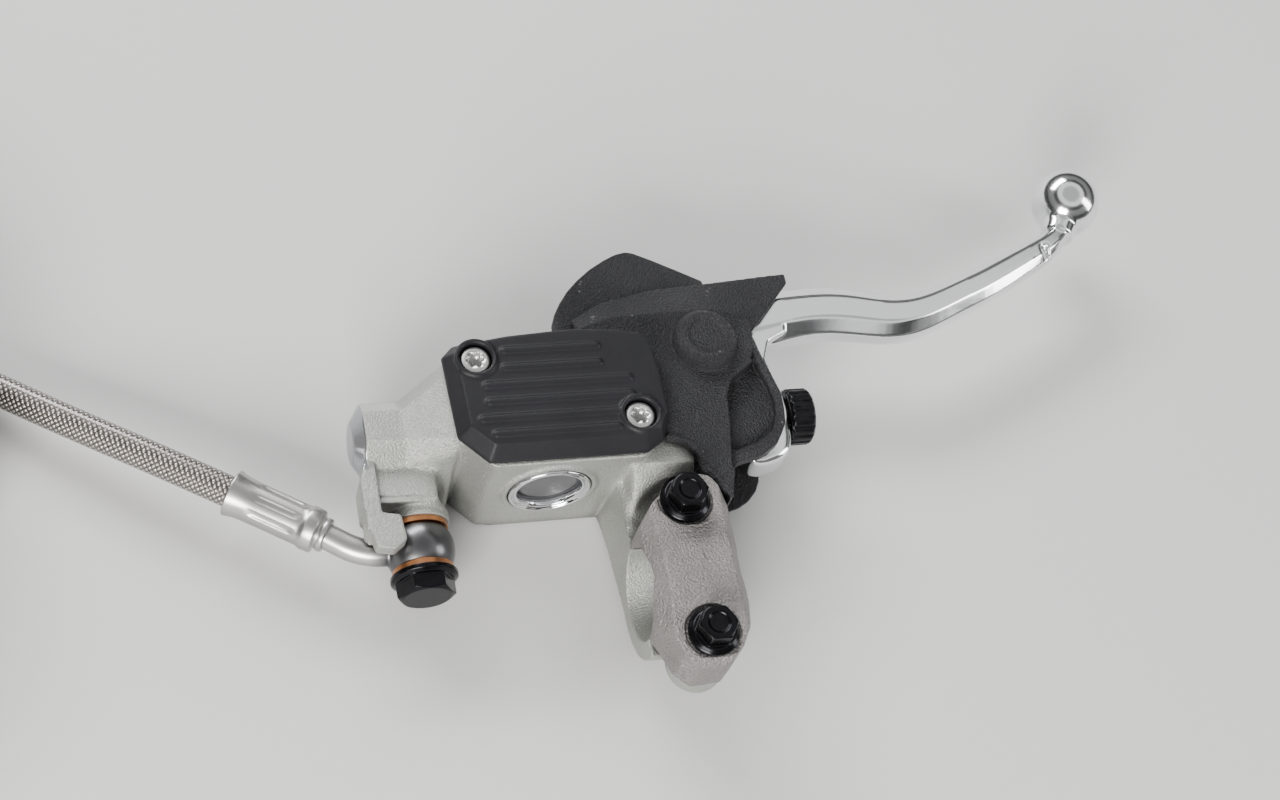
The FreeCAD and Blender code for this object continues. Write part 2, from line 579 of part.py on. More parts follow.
def lever():
    grip = loft("lever_grip", "YZ_Plane", [
        (str(x), grip_section(centre, half_width, half_thick))
        for x, centre, half_width, half_thick in GRIP_STATIONS], ruled=False)
    end = ball("lever_ball", ("ball_x", "ball_y", "0"), "ball_dia / 2")
    neck = cone("lever_neck", ("120.5", "90.6", "0"), (5.3, 10, 0), "6", "4.2", "4.8")
    hub = rod("lever_hub", ("pivot_x", "pivot_y", "-lever_half"), UP, "2 * lever_half", "7")
    root = plate("lever_root", "XY_Plane", "-lever_half + 0.4", "lever_half - 0.4", [
        ("pivot_x - 1", "pivot_y + 6.9"), ("pivot_x - 4", "pivot_y - 5.6"), ("17.5", "49"),
        ("21", "40"), ("20.2", "31.6"), ("22", "28.9"), ("25.7", "28.8"), ("29.6", "30"),
        ("32.4", "32.2"), ("arm_face", "35.6"), ("arm_face", "46"), ("32", "52"), ("31", "57"),
        ("33", "62"), ("38", "64.4"), ("38", "73.6"), ("28", "70.4")], 1.2)
    boss = rod("arm_boss", ("19.5", "adjuster_y", "0"), RIGHT, "arm_face - 19.4", "4.6")
    pivot = rod("lever_bore", ("pivot_x", "pivot_y", "-10"), UP, "20", "4.5")
    screw = rod("adjuster_bore", ("14", "adjuster_y", "0"), RIGHT, "30", "3 + play")
    plunger = rod("detent_bore", ("arm_face - 9", "adjuster_y - 5.4", "0"), RIGHT, "12", "1.3")
    nose_room = rod("nose_room", ("10", "adjuster_y", "0"), RIGHT, "9.4", "6.4")
    notch = block("grip_notch", ("113.2", "76", "1.9"), ("115.2", "86", "6"))
    solid = fuse("lever_solid", [grip, end, neck, hub, root, boss])
    keep("lever", cut("lever", solid, [pivot, screw, plunger, nose_room, notch]))


def pivot_pieces():
    base = ("pivot_x", "pivot_y", "0")
    keep("pivot_bush", ring("pivot_bush", "-lever_half - 0.25", "lever_half + 0.25", "3 + play",
                            "4.45", base, UP))
    shank = turned("pivot_bolt_shank", [
        ("-lever_half - 12.4", "0"), ("-lever_half - 12.4", "2.5"), ("-lever_half - 11.8", "3"),
        ("lever_half + 5.3", "3"), ("lever_half + 5.3", "5"), ("lever_half + 8.4", "5"),
        ("lever_half + 8.9", "4.5"), ("lever_half + 8.9", "0")], base, UP)
    socket = prism("pivot_bolt_socket", ("pivot_x", "pivot_y", "lever_half + 6.2"), UP,
                   "4", 6, "4")
    keep("pivot_bolt", cut("pivot_bolt", shank, [socket]))
    nut = prism("pivot_nut_hex", ("pivot_x", "pivot_y", "-lever_half - 11"), UP, "5.7", 6, "10")
    hole = rod("pivot_nut_hole", ("pivot_x", "pivot_y", "-25"), UP, "20", "3.02")
    keep("pivot_nut", cut("pivot_nut", nut, [hole]))


def adjuster():
    """Reach adjuster: knob, ball-nosed screw and the ball that clicks in the knob's notches."""
    axis = ("0", "adjuster_y", "0")
    keep("adjuster_screw", turned("adjuster_screw", [
        ("tip_centre_x - tip_radius", "0"), ("tip_centre_x - tip_radius * 0.94", "0.9"),
        ("tip_centre_x - tip_radius * 0.71", "1.85"), ("tip_centre_x - tip_radius * 0.38", "2.4"),
        ("tip_centre_x", "tip_radius"), ("tip_centre_x + 2.6", "tip_radius"),
        ("tip_centre_x + 3", "3"), ("arm_face + 4.6", "3"), ("arm_face + 5", "2.6"),
        ("arm_face + 5", "0")], axis))
    blank = turned("knob_blank", [
        ("arm_face + 0.25", "3 + play"), ("arm_face + 0.25", "6.2"), ("arm_face + 0.9", "6.9"),
        ("arm_face + 5.7", "6.9"), ("arm_face + 6.4", "6.2"), ("arm_face + 6.4", "4.4"),
        ("arm_face + 5.4", "3.9"), ("arm_face + 5.4", "3 + play")], axis)
    ribs, groove_reach = 18, 7.3
    grooves = []
    for number in range(ribs):
        angle = 2 * math.pi * number / ribs
        base = ("arm_face", "adjuster_y + %.5f" % (groove_reach * math.cos(angle)),
                "%.5f" % (groove_reach * math.sin(angle)))
        grooves.append(rod("knob_groove_%d" % number, base, RIGHT, "7", "0.75"))
    keep("adjuster_knob", cut("adjuster_knob", blank, grooves))
    keep("detent_ball", ball("detent_ball", ("arm_face - 1.05", "adjuster_y - 5.4", "0"), "1.2"))
    keep("detent_spring", ring("detent_spring", "arm_face - 8.9", "arm_face - 2.3", "0.7", "1.2",
                               ("0", "adjuster_y - 5.4", "0")))


# ---------------------------------------------------------------- guard over the lever's root

# Sections of the guard's front skirt, across X: x, rear y, step y, ridge y, step z, ridge z.
SKIRT_SECTIONS = [(-16.5, 62.6, 64.2, 68.9, 11.6, 7.8), (-8.5, 60.6, 66.6, 73.2, 12.0, 7.9),
                  (4.6, 60.4, 67.0, 76.0, 12.2, 8.0), (17.6, 60.4, 67.3, 77.0, 12.0, 8.0),
                  (27, 61.6, 66.8, 77.8, 9.8, 8.0), (40, 76.2, 77.2, 78.9, 7.9, 7.9)]
# Sections of the fin in front of the skirt, across X: x, inner y, outer y.
FIN_SECTIONS = [(-20.6, 66.6, 69.4), (-19.3, 66.6, 72.7), (-17.5, 66.6, 75.7),
                (-15, 67.4, 79.0), (-12, 68.5, 81.9), (-8.4, 70.2, 84.8), (-4.4, 72, 87.2),
                (-1.2, 72.8, 88.7), (1.5, 73.5, 89.3), (3.4, 73.7, 88.9), (8, 74, 86.5),
                (13.5, 74.5, 83.4), (19.5, 75, 79.9)]
# Outlines of the rim round the guard's pocket.
RIM_OUTER = [("12.8", "24"), ("14.4", "24.4"), ("15.8", "26.6"), ("18.4", "27.4"),
             ("22.4", "28.2"), ("26.9", "31"), ("30.2", "36.4"), ("30.8", "44.2"), ("28.2", "54"),
             ("27.2", "60.2"), ("24.6", "60.2"), ("22", "50"), ("16", "46")]
RIM_INNER = [("15.2", "30.2"), ("17", "30.2"), ("22.6", "32"), ("26.4", "34.8"),
             ("28.2", "38.9"), ("28.8", "44"), ("26", "53.6"), ("23.8", "51.6"), ("18.6", "48.2"),
             ("16.6", "43.8")]


def lever_guard():
    top = plate("guard_top", "XY_Plane", "10.7", "12.2", [
        ("-0.8", "33.2"), ("3.6", "31.4"), ("6", "28.6"), ("6.2", "23.7"), ("8.1", "22.4"),
        ("11.4", "16.5"), ("12.8", "22.6"), ("14.6", "33"), ("16.2", "44"), ("18", "49.4"),
        ("24.2", "53"), ("26.4", "57.6"), ("26.2", "64"), ("10", "66.4"), ("-0.8", "66.4")], 1.0)
    skirt = loft("guard_skirt", "YZ_Plane", [
        (str(x), [(str(rear), str(step_z)), (str(step), str(step_z)), (str(ridge), str(ridge_z)),
                  (str(ridge - 0.6), str(ridge_z - 1.8)), (str(step - 0.7), str(step_z - 1.7)),
                  (str(rear), str(step_z - 1.7))])
        for x, rear, step, ridge, step_z, ridge_z in SKIRT_SECTIONS])
    fin = loft("guard_fin", "YZ_Plane", [
        (str(x), [(str(inner), "6.4"), (str(outer), "4.6"), (str(outer), "2.8"),
                  (str(inner), "4.4")]) for x, inner, outer in FIN_SECTIONS])
    apron = loft("guard_apron", "YZ_Plane", [
        (str(x), [(str(front - 2.2), "6.6"), (str(front), "6.6"), (str(front), "3.2"),
                  (str(front - 2.2), "3.2")])
        for x, front in ((-16.5, 68.8), (-8.5, 73), (4.6, 75.8), (17.6, 76.8), (24, 77.2))])
    boss = turned("guard_boss", [
        ("10.7", "0"), ("10.7", "8.6"), ("11.8", "8.3"), ("14.6", "7.4"), ("15.9", "6.2"),
        ("15.9", "4.6"), ("15.5", "4.3"), ("15.5", "0")], ("pivot_x", "pivot_y", "0"), UP)
    pocket_floor = plate("guard_pocket", "XY_Plane", "7.3", "8.1", [
        ("15", "29.5"), ("24", "31"), ("28.6", "36"), ("29.6", "44"), ("27", "53.6"),
        ("17", "52")], 1.5)
    rim = plate("guard_rim", "XY_Plane", "7.3", "10.2", RIM_OUTER, 3, (4, 5, 6, 7))
    rim_room = plate("guard_rim_room", "XY_Plane", "8.1", "13", RIM_INNER, 2, (2, 3, 4))
    ridge = plate("guard_ridge", "XY_Plane", "7.3", "12.2", [
        ("11.2", "17.6"), ("12.6", "17.2"), ("13.4", "22.6"), ("15.2", "33"), ("17.2", "43.6"),
        ("19", "48.6"), ("25", "52.4"), ("24", "54"), ("17.6", "50.4"), ("15.4", "44"),
        ("13.2", "33"), ("11.8", "24")])
    tip = plate("guard_tip_wall", "XY_Plane", "-12", "12.2", [
        ("11.35", "16.4"), ("12.4", "17.2"), ("13.5", "21.4"), ("14.4", "24.6"),
        ("12.8", "25")])
    bottom = plate("guard_bottom", "XY_Plane", "-12", "-10.5", [
        ("11.6", "17.4"), ("13.4", "17.6"), ("15", "22.6"), ("18.4", "24"), ("21.4", "24.8"),
        ("24.2", "26.4"), ("26.6", "28.8"), ("28", "31.6"), ("28.4", "35"), ("28.2", "38"),
        ("27", "52"), ("24", "64"),
        ("13", "68.6"), ("1.2", "67.4"), ("1.2", "60"), ("6", "56"), ("6", "44"),
        ("11.6", "36")], 0.9)
    front_wall = plate("guard_front_wall", "XY_Plane", "-12", "6", [
        ("0.6", "66.2"), ("11", "67.8"), ("11", "69.3"), ("0.6", "67.7")])
    bolt_room = rod("guard_bolt_room", ("pivot_x", "pivot_y", "0"), UP, "14.4", "5.6")
    nut_room = rod("guard_nut_room", ("pivot_x", "pivot_y", "-20"), UP, "12", "6.2")
    ear_room = rod("guard_ear_room", ("pivot_x", "pivot_y", "lever_half"), UP, "5.5", "7.5")
    solid = fuse("guard_solid", [top, skirt, fin, apron, boss, pocket_floor, rim, ridge, tip,
                                 bottom, front_wall])
    keep("lever_guard", cut("lever_guard", solid, [rim_room, bolt_room, nut_room, ear_room]))


# ---------------------------------------------------------------- hose and its fittings

def banjo_pieces():
    at_outlet = ("banjo_x", "banjo_face", "banjo_z")
    washers = [ring("banjo_washer_%d" % number, start, start + " + washer_thick", "5.1", "7.25",
                    at_outlet, TO_RIDER) for number, start in
               enumerate(("0.02", "washer_thick + eye_thick + 0.06"))]
    keep("banjo_washers", group("banjo_washers", washers))
    head = "2 * washer_thick + eye_thick + 0.1"
    bolt = turned("banjo_bolt_blank", [
        ("-11", "0"), ("-11", "4"), ("-10.4", "4.45"), ("0.1", "4.45"), ("0.5", "4.9"),
        (head, "4.9"), (head, "7.9"), (head + " + 1.1", "7.9"), (head + " + 1.8", "6.9"),
        (head + " + 1.8", "0")], at_outlet, TO_RIDER)
    hexagon = prism("banjo_bolt_hexagon", ("banjo_x", "banjo_face - (%s)" % head, "banjo_z"), TO_RIDER,
                    "5.6", 6, "12")
    trim = turned("banjo_bolt_trim", [
        ("0.5", "0"), ("0.5", "8"), ("4.4", "8"), ("5.6", "5.6"), ("5.6", "0")],
        ("banjo_x", "banjo_face - (%s)" % head, "banjo_z"), TO_RIDER)
    drill = rod("banjo_bolt_drill", ("banjo_x", "banjo_face + 12", "banjo_z"), TO_RIDER, "18",
                "1.8")
    cross = rod("banjo_bolt_cross", ("banjo_x - 6", "banjo_face - 6", "banjo_z"), RIGHT, "12",
                "1.2")
    keep("banjo_bolt", cut("banjo_bolt", fuse("banjo_bolt_solid", [
        bolt, common("banjo_bolt_hex", hexagon, trim)]), [drill, cross]))


def eye(label, centre, axis):
    """A banjo eye: a ball with two flat faces, drilled for the bolt."""
    sphere = ball(label + "_ball", centre, "8.1")
    half = "eye_thick / 2"
    low = [text + (" - %g * %s" % (direction, half) if direction else "")
           for text, direction in zip(centre, axis)]
    slab = rod(label + "_slab", low, axis, "eye_thick", "9")
    hole_base = [text + (" - %g * eye_thick" % direction if direction else "")
                 for text, direction in zip(centre, axis)]
    return common(label + "_flats", sphere, slab), rod(label + "_hole", hole_base, axis,
                                                       "2 * eye_thick", "5.15")


def rounded_path(points):
    """Straight runs joined by tangent arcs; the arcs' radii come back with the wire."""
    corners = [VECTOR(*point) for point in points]
    edges, radii, start = [], [], corners[0]
    for before, corner, after in zip(corners, corners[1:], corners[2:]):
        into, out = before - corner, after - corner
        turn = math.pi - into.getAngle(out)
        reach = 0.45 * min(into.Length, out.Length)
        radius = reach / math.tan(turn / 2)
        into.normalize()
        out.normalize()
        first, last = corner + into * reach, corner + out * reach
        middle_way = (into + out).normalize()
        centre = corner + middle_way * (radius / math.cos(turn / 2))
        middle = centre - middle_way * radius
        edges.append(Part.LineSegment(start, first).toShape())
        edges.append(Part.Arc(first, middle, last).toShape())
        radii.append(radius)
        start = last
    edges.append(Part.LineSegment(start, corners[-1]).toShape())
    return Part.Wire(edges), radii


def tube(points, radius):
    """A round bar along a rounded path; returns the solid, its path's length and the radii."""
    path, radii = rounded_path(points)
    along = VECTOR(*points[1]) - VECTOR(*points[0])
    section = Part.Wire(Part.makeCircle(radius, VECTOR(*points[0]), along))
    solid = path.makePipeShell([section], True, False)
    error = solid.Volume / (math.pi * radius ** 2 * path.Length) - 1
    if abs(error) > 0.01:
        raise ValueError("tube volume is off by %.2f%%" % (100 * error))
    return solid, path.Length, radii


PIPE_ROUTE = [(-58.8, 17.71, -6.0), (-72.4, 18.3, -6.0), (-80.94, 24.41, -6.09)]
SLEEVE_START = (-78.94, 23.1, -6.0)
SLEEVE_WAY = (-0.8364, 0.5470, -0.0360)
# The stretch of hose from inside the crimp sleeve to the first turn of the stored coil.
HOSE_ROUTE = [(-94.5, 33.28, -6.67), (-114.6, 46.5, -7.9), (-135.0, 59.6, -9.7),
              (-156.5, 74.3, -11.6), (-177.6, 87.5, -13.2)]
COIL_RADIUS = 42.0
COIL_PITCH = 7.7
COIL_TURNS = 3
COIL_CENTRE = (-199.5, 51.7, -13.2)     # middle of the first turn, the lowest
TIE_ANGLE = 200.0
FAR_HEIGHT = COIL_CENTRE[2] + COIL_TURNS * COIL_PITCH


def sleeve(label, base, along):
    """The crimped sleeve over a hose's end: two collars, a barrel and a slightly flared mouth."""
    return turned(label, [
        ("0.7", "pipe_dia / 2 + 0.02"), ("0.7", "3.8"), ("1.1", "4.1"), ("2", "4.1"), ("2.3", "3.8"),
        ("2.7", "3.8"), ("3.2", "5.2"), ("5.6", "5.35"), ("6.4", "5"), ("7", "4.9"),
        ("19.6", "4.9"), ("22.4", "5.1"), ("24.6", "5.6"), ("25", "5.4"),
        ("25", "hose_dia / 2 + 0.02"), ("18.6", "hose_dia / 2 + 0.02"), ("18.6", "1.4"),
        ("2.5", "1.4"), ("2.5", "pipe_dia / 2 + 0.02")], base, along)


def fitting(name, centre, eye_axis, pipe_route):
    """A banjo eye with its brazed pipe, drilled through for the fluid."""
    flats, hole = eye(name + "_eye", centre, eye_axis)
    path, _ = rounded_path(pipe_route)
    along = VECTOR(*pipe_route[1]) - VECTOR(*pipe_route[0])
    bars = []
    for part_name, radius in (("pipe", size("pipe_dia") / 2), ("pipe_bore", 1.4)):
        section = Part.Wire(Part.makeCircle(radius, VECTOR(*pipe_route[0]), along))
        bar = new("Part::Feature", name + "_" + part_name)
        bar.Shape = path.makePipeShell([section], True, False)
        bars.append(bar)
    solid = fuse(name + "_solid", [flats, bars[0]])
    keep(name, cut(name, solid, [hole, bars[1]]))


def hose_and_coil():
    """The hose: its free stretch, the stored coil, the coil's tie and the far fitting."""
    solid, length, radii = tube(HOSE_ROUTE, size("hose_dia") / 2)
    print("hose path %.1f mm, arc radii %s" % (length, ["%.0f" % radius for radius in radii]))
    item = new("Part::Feature", "brake_hose")
    item.Shape = solid
    keep("brake_hose", item)

    outer = "%g + hose_dia / 2" % COIL_RADIUS
    inner = "%g - hose_dia / 2" % COIL_RADIUS
    low = "-hose_dia / 2"
    high = "%g + hose_dia / 2" % (COIL_TURNS * COIL_PITCH)
    keep("hose_coil", ring("hose_coil", low, high, inner, outer,
                           [str(number) for number in COIL_CENTRE], UP))
    print("coil holds %.0f mm of hose" % (2 * math.pi * COIL_RADIUS * COIL_TURNS))

    outside = block("tie_outside", (inner + " - 0.9", "-4", low + " - 0.9"),
                    (outer + " + 0.9", "4", high + " + 0.9"))
    inside = block("tie_inside", (inner + " + 0.03", "-5", low + " + 0.03"),
                   (outer + " - 0.03", "5", high + " - 0.03"))
    strap = cut("coil_tie_loop", outside, [inside])
    DOCUMENT.recompute()
    tie = new("Part::Feature", "coil_tie")
    tie.Shape = strap.Shape
    tie.Placement = FreeCAD.Placement(VECTOR(*COIL_CENTRE),
                                      FreeCAD.Rotation(VECTOR(0, 0, 1), TIE_ANGLE))
    keep("coil_tie", tie)


def far_end():
    """Past its top turn the hose leaves the coil along a tangent, into the caliper's fitting."""
    way = VECTOR(-0.853, 0.522, 0)
    way.normalize()
    start = VECTOR(*HOSE_ROUTE[-1])
    start.z = FAR_HEIGHT
    inner_end = start + way * 39
    sleeve_base = [str(number) for number in inner_end]
    keep("far_sleeve", sleeve("far_sleeve", sleeve_base, tuple(way * -1)))
    eye_centre = inner_end + way * 20
    bend = inner_end + way * 9
    fitting("far_banjo_fitting", [str(number) for number in eye_centre], UP,
            [tuple(eye_centre), tuple(bend + VECTOR(0, 0, 0.5)), tuple(inner_end - way * 2.4)])


# ---------------------------------------------------------------- the whole part

PAIRED_NODES = ("cover_screws", "clamp_bolts", "banjo_washers")


def check_document():
    """Stop if anything failed to build, or a node is not whole."""
    for item in DOCUMENT.Objects:
        if "Invalid" in item.State or "Error" in item.State:
            raise ValueError("%s failed: %s" % (item.Label, item.State))
    for node, item in PARTS.items():
        if item.Shape.isNull() or not item.Shape.isValid():
            raise ValueError(node + " has no valid shape")
        wanted = 2 if node in PAIRED_NODES else 1
        if len(item.Shape.Solids) != wanted:
            raise ValueError("%s has %d solids" % (node, len(item.Shape.Solids)))


def main():
    cylinder_body()
    reservoir_cover()
    cover_screws()
    reservoir_diaphragm()
    sight_glass()
    clamp_cap()
    clamp_bolts()
    hydraulics()
    return_spring()
    lever()
    pivot_pieces()
    adjuster()
    lever_guard()
    banjo_pieces()
    fitting("banjo_fitting", (
        "banjo_x", "banjo_face - washer_thick - 0.04 - eye_thick / 2", "banjo_z"), TO_RIDER,
        PIPE_ROUTE)
    keep("crimp_sleeve", sleeve("crimp_sleeve", [str(number) for number in SLEEVE_START],
                                SLEEVE_WAY))
    hose_and_coil()
    far_end()
    DOCUMENT.recompute()
    check_document()
    os.makedirs("parts", exist_ok=True)
    for node, item in PARTS.items():
        item.Shape.exportStep("parts/%s.step" % node)
        box = item.Shape.BoundBox
        print("%-20s solids %d volume %9.1f  x %7.1f %7.1f  y %7.1f %7.1f  z %6.1f %6.1f" % (
            node, len(item.Shape.Solids), item.Shape.Volume, box.XMin, box.XMax,
            box.YMin, box.YMax, box.ZMin, box.ZMax))


main()
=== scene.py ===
import json
import math

import bmesh
import bpy
from mathutils import Matrix, Vector


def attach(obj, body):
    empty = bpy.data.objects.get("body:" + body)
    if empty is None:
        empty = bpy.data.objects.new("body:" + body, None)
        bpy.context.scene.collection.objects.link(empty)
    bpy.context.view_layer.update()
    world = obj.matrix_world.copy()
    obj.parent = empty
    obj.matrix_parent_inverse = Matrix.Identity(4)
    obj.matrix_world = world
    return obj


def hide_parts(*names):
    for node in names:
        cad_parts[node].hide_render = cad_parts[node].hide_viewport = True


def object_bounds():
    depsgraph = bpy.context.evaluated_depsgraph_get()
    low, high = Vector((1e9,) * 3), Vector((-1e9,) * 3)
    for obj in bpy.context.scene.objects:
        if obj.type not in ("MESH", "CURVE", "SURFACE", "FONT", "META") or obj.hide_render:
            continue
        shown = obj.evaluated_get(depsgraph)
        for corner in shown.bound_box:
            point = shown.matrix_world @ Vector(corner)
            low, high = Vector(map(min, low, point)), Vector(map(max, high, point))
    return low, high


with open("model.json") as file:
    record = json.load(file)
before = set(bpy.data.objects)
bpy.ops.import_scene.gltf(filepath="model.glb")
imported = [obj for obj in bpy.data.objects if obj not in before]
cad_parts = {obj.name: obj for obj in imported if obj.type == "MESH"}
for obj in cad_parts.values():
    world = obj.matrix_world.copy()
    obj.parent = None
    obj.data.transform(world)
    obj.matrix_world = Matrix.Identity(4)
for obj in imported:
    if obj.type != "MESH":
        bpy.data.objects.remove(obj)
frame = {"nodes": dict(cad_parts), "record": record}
NODES = frame["nodes"]
CAD_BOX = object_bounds()
MM = 0.001


# ---------------------------------------------------------------- camera and stage

def set_camera():
    """A 67.5 mm lens above and to the rider's side, looking forward and down on the cover."""
    right = Vector((0.9588, -0.1860, 0.2145))
    down = Vector((-0.0622, -0.8747, -0.4806))
    forward = Vector((0.2770, 0.4475, -0.8503))
    data = bpy.data.cameras.new("camera")
    data.lens = 67.5
    data.sensor_width = 36
    data.clip_end = 10
    camera = bpy.data.objects.new("camera", data)
    bpy.context.scene.collection.objects.link(camera)
    turn = Matrix((right, -down, -forward)).transposed().to_4x4()
    camera.matrix_world = Matrix.Translation((-0.16103, -0.20808, 0.49080)) @ turn
    bpy.context.scene.camera = camera


def area_light(name, place, target, size, power, tint=(1, 1, 1)):
    data = bpy.data.lights.new(name, "AREA")
    data.shape = "RECTANGLE"
    data.size, data.size_y = size
    data.energy = power
    data.color = tint
    light = bpy.data.objects.new(name, data)
    bpy.context.scene.collection.objects.link(light)
    way = Vector(target) - Vector(place)
    light.location = place
    light.rotation_euler = way.to_track_quat("-Z", "Y").to_euler()


SURROUND_STRENGTH = 0.34
# Brightness of the surround by the height of the direction, from the horizon up to overhead.
SURROUND_BANDS = [(0.0, 0.25), (0.2, 0.1), (0.3, 0.6), (0.52, 0.8), (0.6, 0.12), (0.71, 0.2),
                  (0.755, 3.2), (0.86, 3.2), (0.9, 1.6), (1.0, 1.6)]


def set_surround():
    """A soft studio surround: bright overhead, darker bands towards the horizon."""
    world = bpy.data.worlds.new("surround")
    bpy.context.scene.world = world
    world.use_nodes = True
    tree = world.node_tree
    background = tree.nodes["Background"]
    background.inputs["Strength"].default_value = SURROUND_STRENGTH
    source = add(tree, "ShaderNodeTexCoord").outputs["Generated"]
    parts = add(tree, "ShaderNodeSeparateXYZ")
    wire(tree, source, parts.inputs[0])
    bands = ramp(tree, parts.outputs["Z"], SURROUND_BANDS)
    wire(tree, bands, background.inputs["Color"])


def set_stage(lowest):
    """A pale floor under the object and three soft boxes round it."""
    data = bpy.data.meshes.new("floor")
    reach = 3
    data.from_pydata([(-reach, -reach, 0), (reach, -reach, 0), (reach, reach, 0),
                      (-reach, reach, 0)], [], [(0, 1, 2, 3)])
    floor = bpy.data.objects.new("floor", data)
    floor.location.z = lowest
    bpy.context.scene.collection.objects.link(floor)
    paint = new_material("floor_paint", (0.62, 0.62, 0.615), 0.7, 0.0, Specular_IOR_Level=0.2)
    floor.data.materials.append(paint[0])
    set_surround()
    middle = (0, 0.04, 0)
    area_light("key", (-0.42, -0.72, 0.42), middle, (0.5, 0.35), 17, (1.0, 0.985, 0.96))
    area_light("back", (-0.25, 0.85, 0.55), middle, (0.8, 0.25), 13)
    area_light("side", (0.7, -0.15, 0.35), middle, (0.2, 0.5), 3)


# ---------------------------------------------------------------- material helpers

def new_material(name, color, roughness, metallic=0.0, **sockets):
    """A principled material, and its tree's nodes for the detail that follows."""
    material = bpy.data.materials.new(name)
    material.use_nodes = True
    shader = material.node_tree.nodes["Principled BSDF"]
    shader.inputs["Base Color"].default_value = (*color, 1)
    shader.inputs["Roughness"].default_value = roughness
    shader.inputs["Metallic"].default_value = metallic
    for socket, value in sockets.items():
        shader.inputs[socket.replace("_", " ")].default_value = value
    return material, material.node_tree, shader


def add(tree, kind):
    return tree.nodes.new(kind)


def wire(tree, source, target):
    tree.links.new(source, target)


def source_place(tree):
    """Object coordinates, which are the object frame's metres."""
    return add(tree, "ShaderNodeTexCoord").outputs["Object"]


def noise_value(tree, vector, scale, detail=3.0, roughness=0.55):
    node = add(tree, "ShaderNodeTexNoise")
    node.inputs["Scale"].default_value = scale
    node.inputs["Detail"].default_value = detail
    node.inputs["Roughness"].default_value = roughness
    wire(tree, vector, node.inputs["Vector"])
    return node.outputs["Fac"]


def ramp(tree, value, stops):
    """A colour ramp; each stop is (place, grey or colour)."""
    node = add(tree, "ShaderNodeValToRGB")
    points = node.color_ramp.elements
    while len(points) < len(stops):
        points.new(0.5)
    for point, (place, color) in zip(points, stops):
        point.position = place
        point.color = (*color, 1) if isinstance(color, tuple) else (color, color, color, 1)
    wire(tree, value, node.inputs["Fac"])
    return node.outputs["Color"]


def math_node(tree, operation, first, second=0.0, clamp=False):
    node = add(tree, "ShaderNodeMath")
    node.operation = operation
    node.use_clamp = clamp
    for socket, value in zip(node.inputs, (first, second)):
        if isinstance(value, (int, float)):
            socket.default_value = value
        else:
            wire(tree, value, socket)
    return node.outputs[0]


def mix_colors(tree, factor, first, second, blend="MIX"):
    node = add(tree, "ShaderNodeMix")
    node.data_type = "RGBA"
    node.blend_type = blend
    for socket, value in ((node.inputs["Factor"], factor), (node.inputs[6], first),
                          (node.inputs[7], second)):
        if isinstance(value, (int, float)):
            socket.default_value = value
        elif isinstance(value, tuple):
            socket.default_value = (*value, 1)
        else:
            wire(tree, value, socket)
    return node.outputs[2]


def bump(tree, shader, height, strength, distance, before=None):
    node = add(tree, "ShaderNodeBump")
    node.inputs["Strength"].default_value = strength
    node.inputs["Distance"].default_value = distance
    wire(tree, height, node.inputs["Height"])
    if before is not None:
        wire(tree, before, node.inputs["Normal"])
    wire(tree, node.outputs["Normal"], shader.inputs["Normal"])
    return node.outputs["Normal"]


def painted_crevice_shade(tree, shade, reach, depth):
    """Painted shade: darken a colour where the surface is folded in, within reach."""
    node = add(tree, "ShaderNodeAmbientOcclusion")
    node.samples = 8
    node.inputs["Distance"].default_value = reach
    painted_shade_level = ramp(tree, node.outputs["AO"], [(0.25, 1 - depth), (0.85, 1.0)])
    return mix_colors(tree, 1.0, shade, painted_shade_level, "MULTIPLY")


def edge_wear_and_highlight(tree, low=0.505, high=0.56):
    """White on the convex edges of a finely meshed piece: partly wear, partly painted highlight.
    """
    point = add(tree, "ShaderNodeNewGeometry").outputs["Pointiness"]
    return ramp(tree, point, [(low, 0.0), (high, 1.0)])


# ---------------------------------------------------------------- materials

MACHINED_COLOR = (0.36, 0.37, 0.39)
MACHINED_ROUGHNESS = (0.14, 0.14, 0.14)


def cast_metal(name, color, grain, depth, spread, machined_left=None):
    """Blasted cast aluminium: fine grain, faint stains, brighter edges that are partly wear and
    partly painted highlight, and painted shade in the creases.

    machined_left is (x, y): the surface left of x and in front of y is bright and smooth.
    """
    material, tree, shader = new_material(name, color, 0.5, 0.85)
    spot = source_place(tree)
    fine = noise_value(tree, spot, grain, 2.0, 0.6)
    broad = noise_value(tree, spot, 90, 3.0)
    stained = mix_colors(tree, ramp(tree, broad, [(0.35, 0.0), (0.7, 1.0)]),
                         tuple(c * (1 - spread) for c in color), color)
    grained = mix_colors(tree, ramp(tree, fine, [(0.3, 0.0), (0.72, 0.55)]), stained,
                         tuple(min(1, c * 1.25) for c in color))
    # Paler convex edges: partly wear, partly painted highlight.
    shade = mix_colors(tree, edge_wear_and_highlight(tree, 0.53, 0.6), grained,
                       tuple(min(1, c * 1.35) for c in color))
    # Painted shade: the colour is darkened in creases by ambient occlusion.
    shade = painted_crevice_shade(tree, shade, 0.005, 0.6)
    rough = ramp(tree, fine, [(0.25, 0.62), (0.75, 0.42)])
    height = fine
    if machined_left is not None:
        across = add(tree, "ShaderNodeSeparateXYZ")
        wire(tree, source_place(tree), across.inputs[0])
        left = math_node(tree, "LESS_THAN", across.outputs["X"], machined_left[0])
        back = math_node(tree, "GREATER_THAN", across.outputs["Y"], machined_left[1])
        face = math_node(tree, "MULTIPLY", left, back)
        shade = mix_colors(tree, face, shade, MACHINED_COLOR)
        rough = mix_colors(tree, face, rough, MACHINED_ROUGHNESS)
        height = math_node(tree, "MULTIPLY", fine, math_node(tree, "SUBTRACT", 1.0, face))
    wire(tree, shade, shader.inputs["Base Color"])
    wire(tree, rough, shader.inputs["Roughness"])
    bump(tree, shader, height, 0.9, depth)
    return material


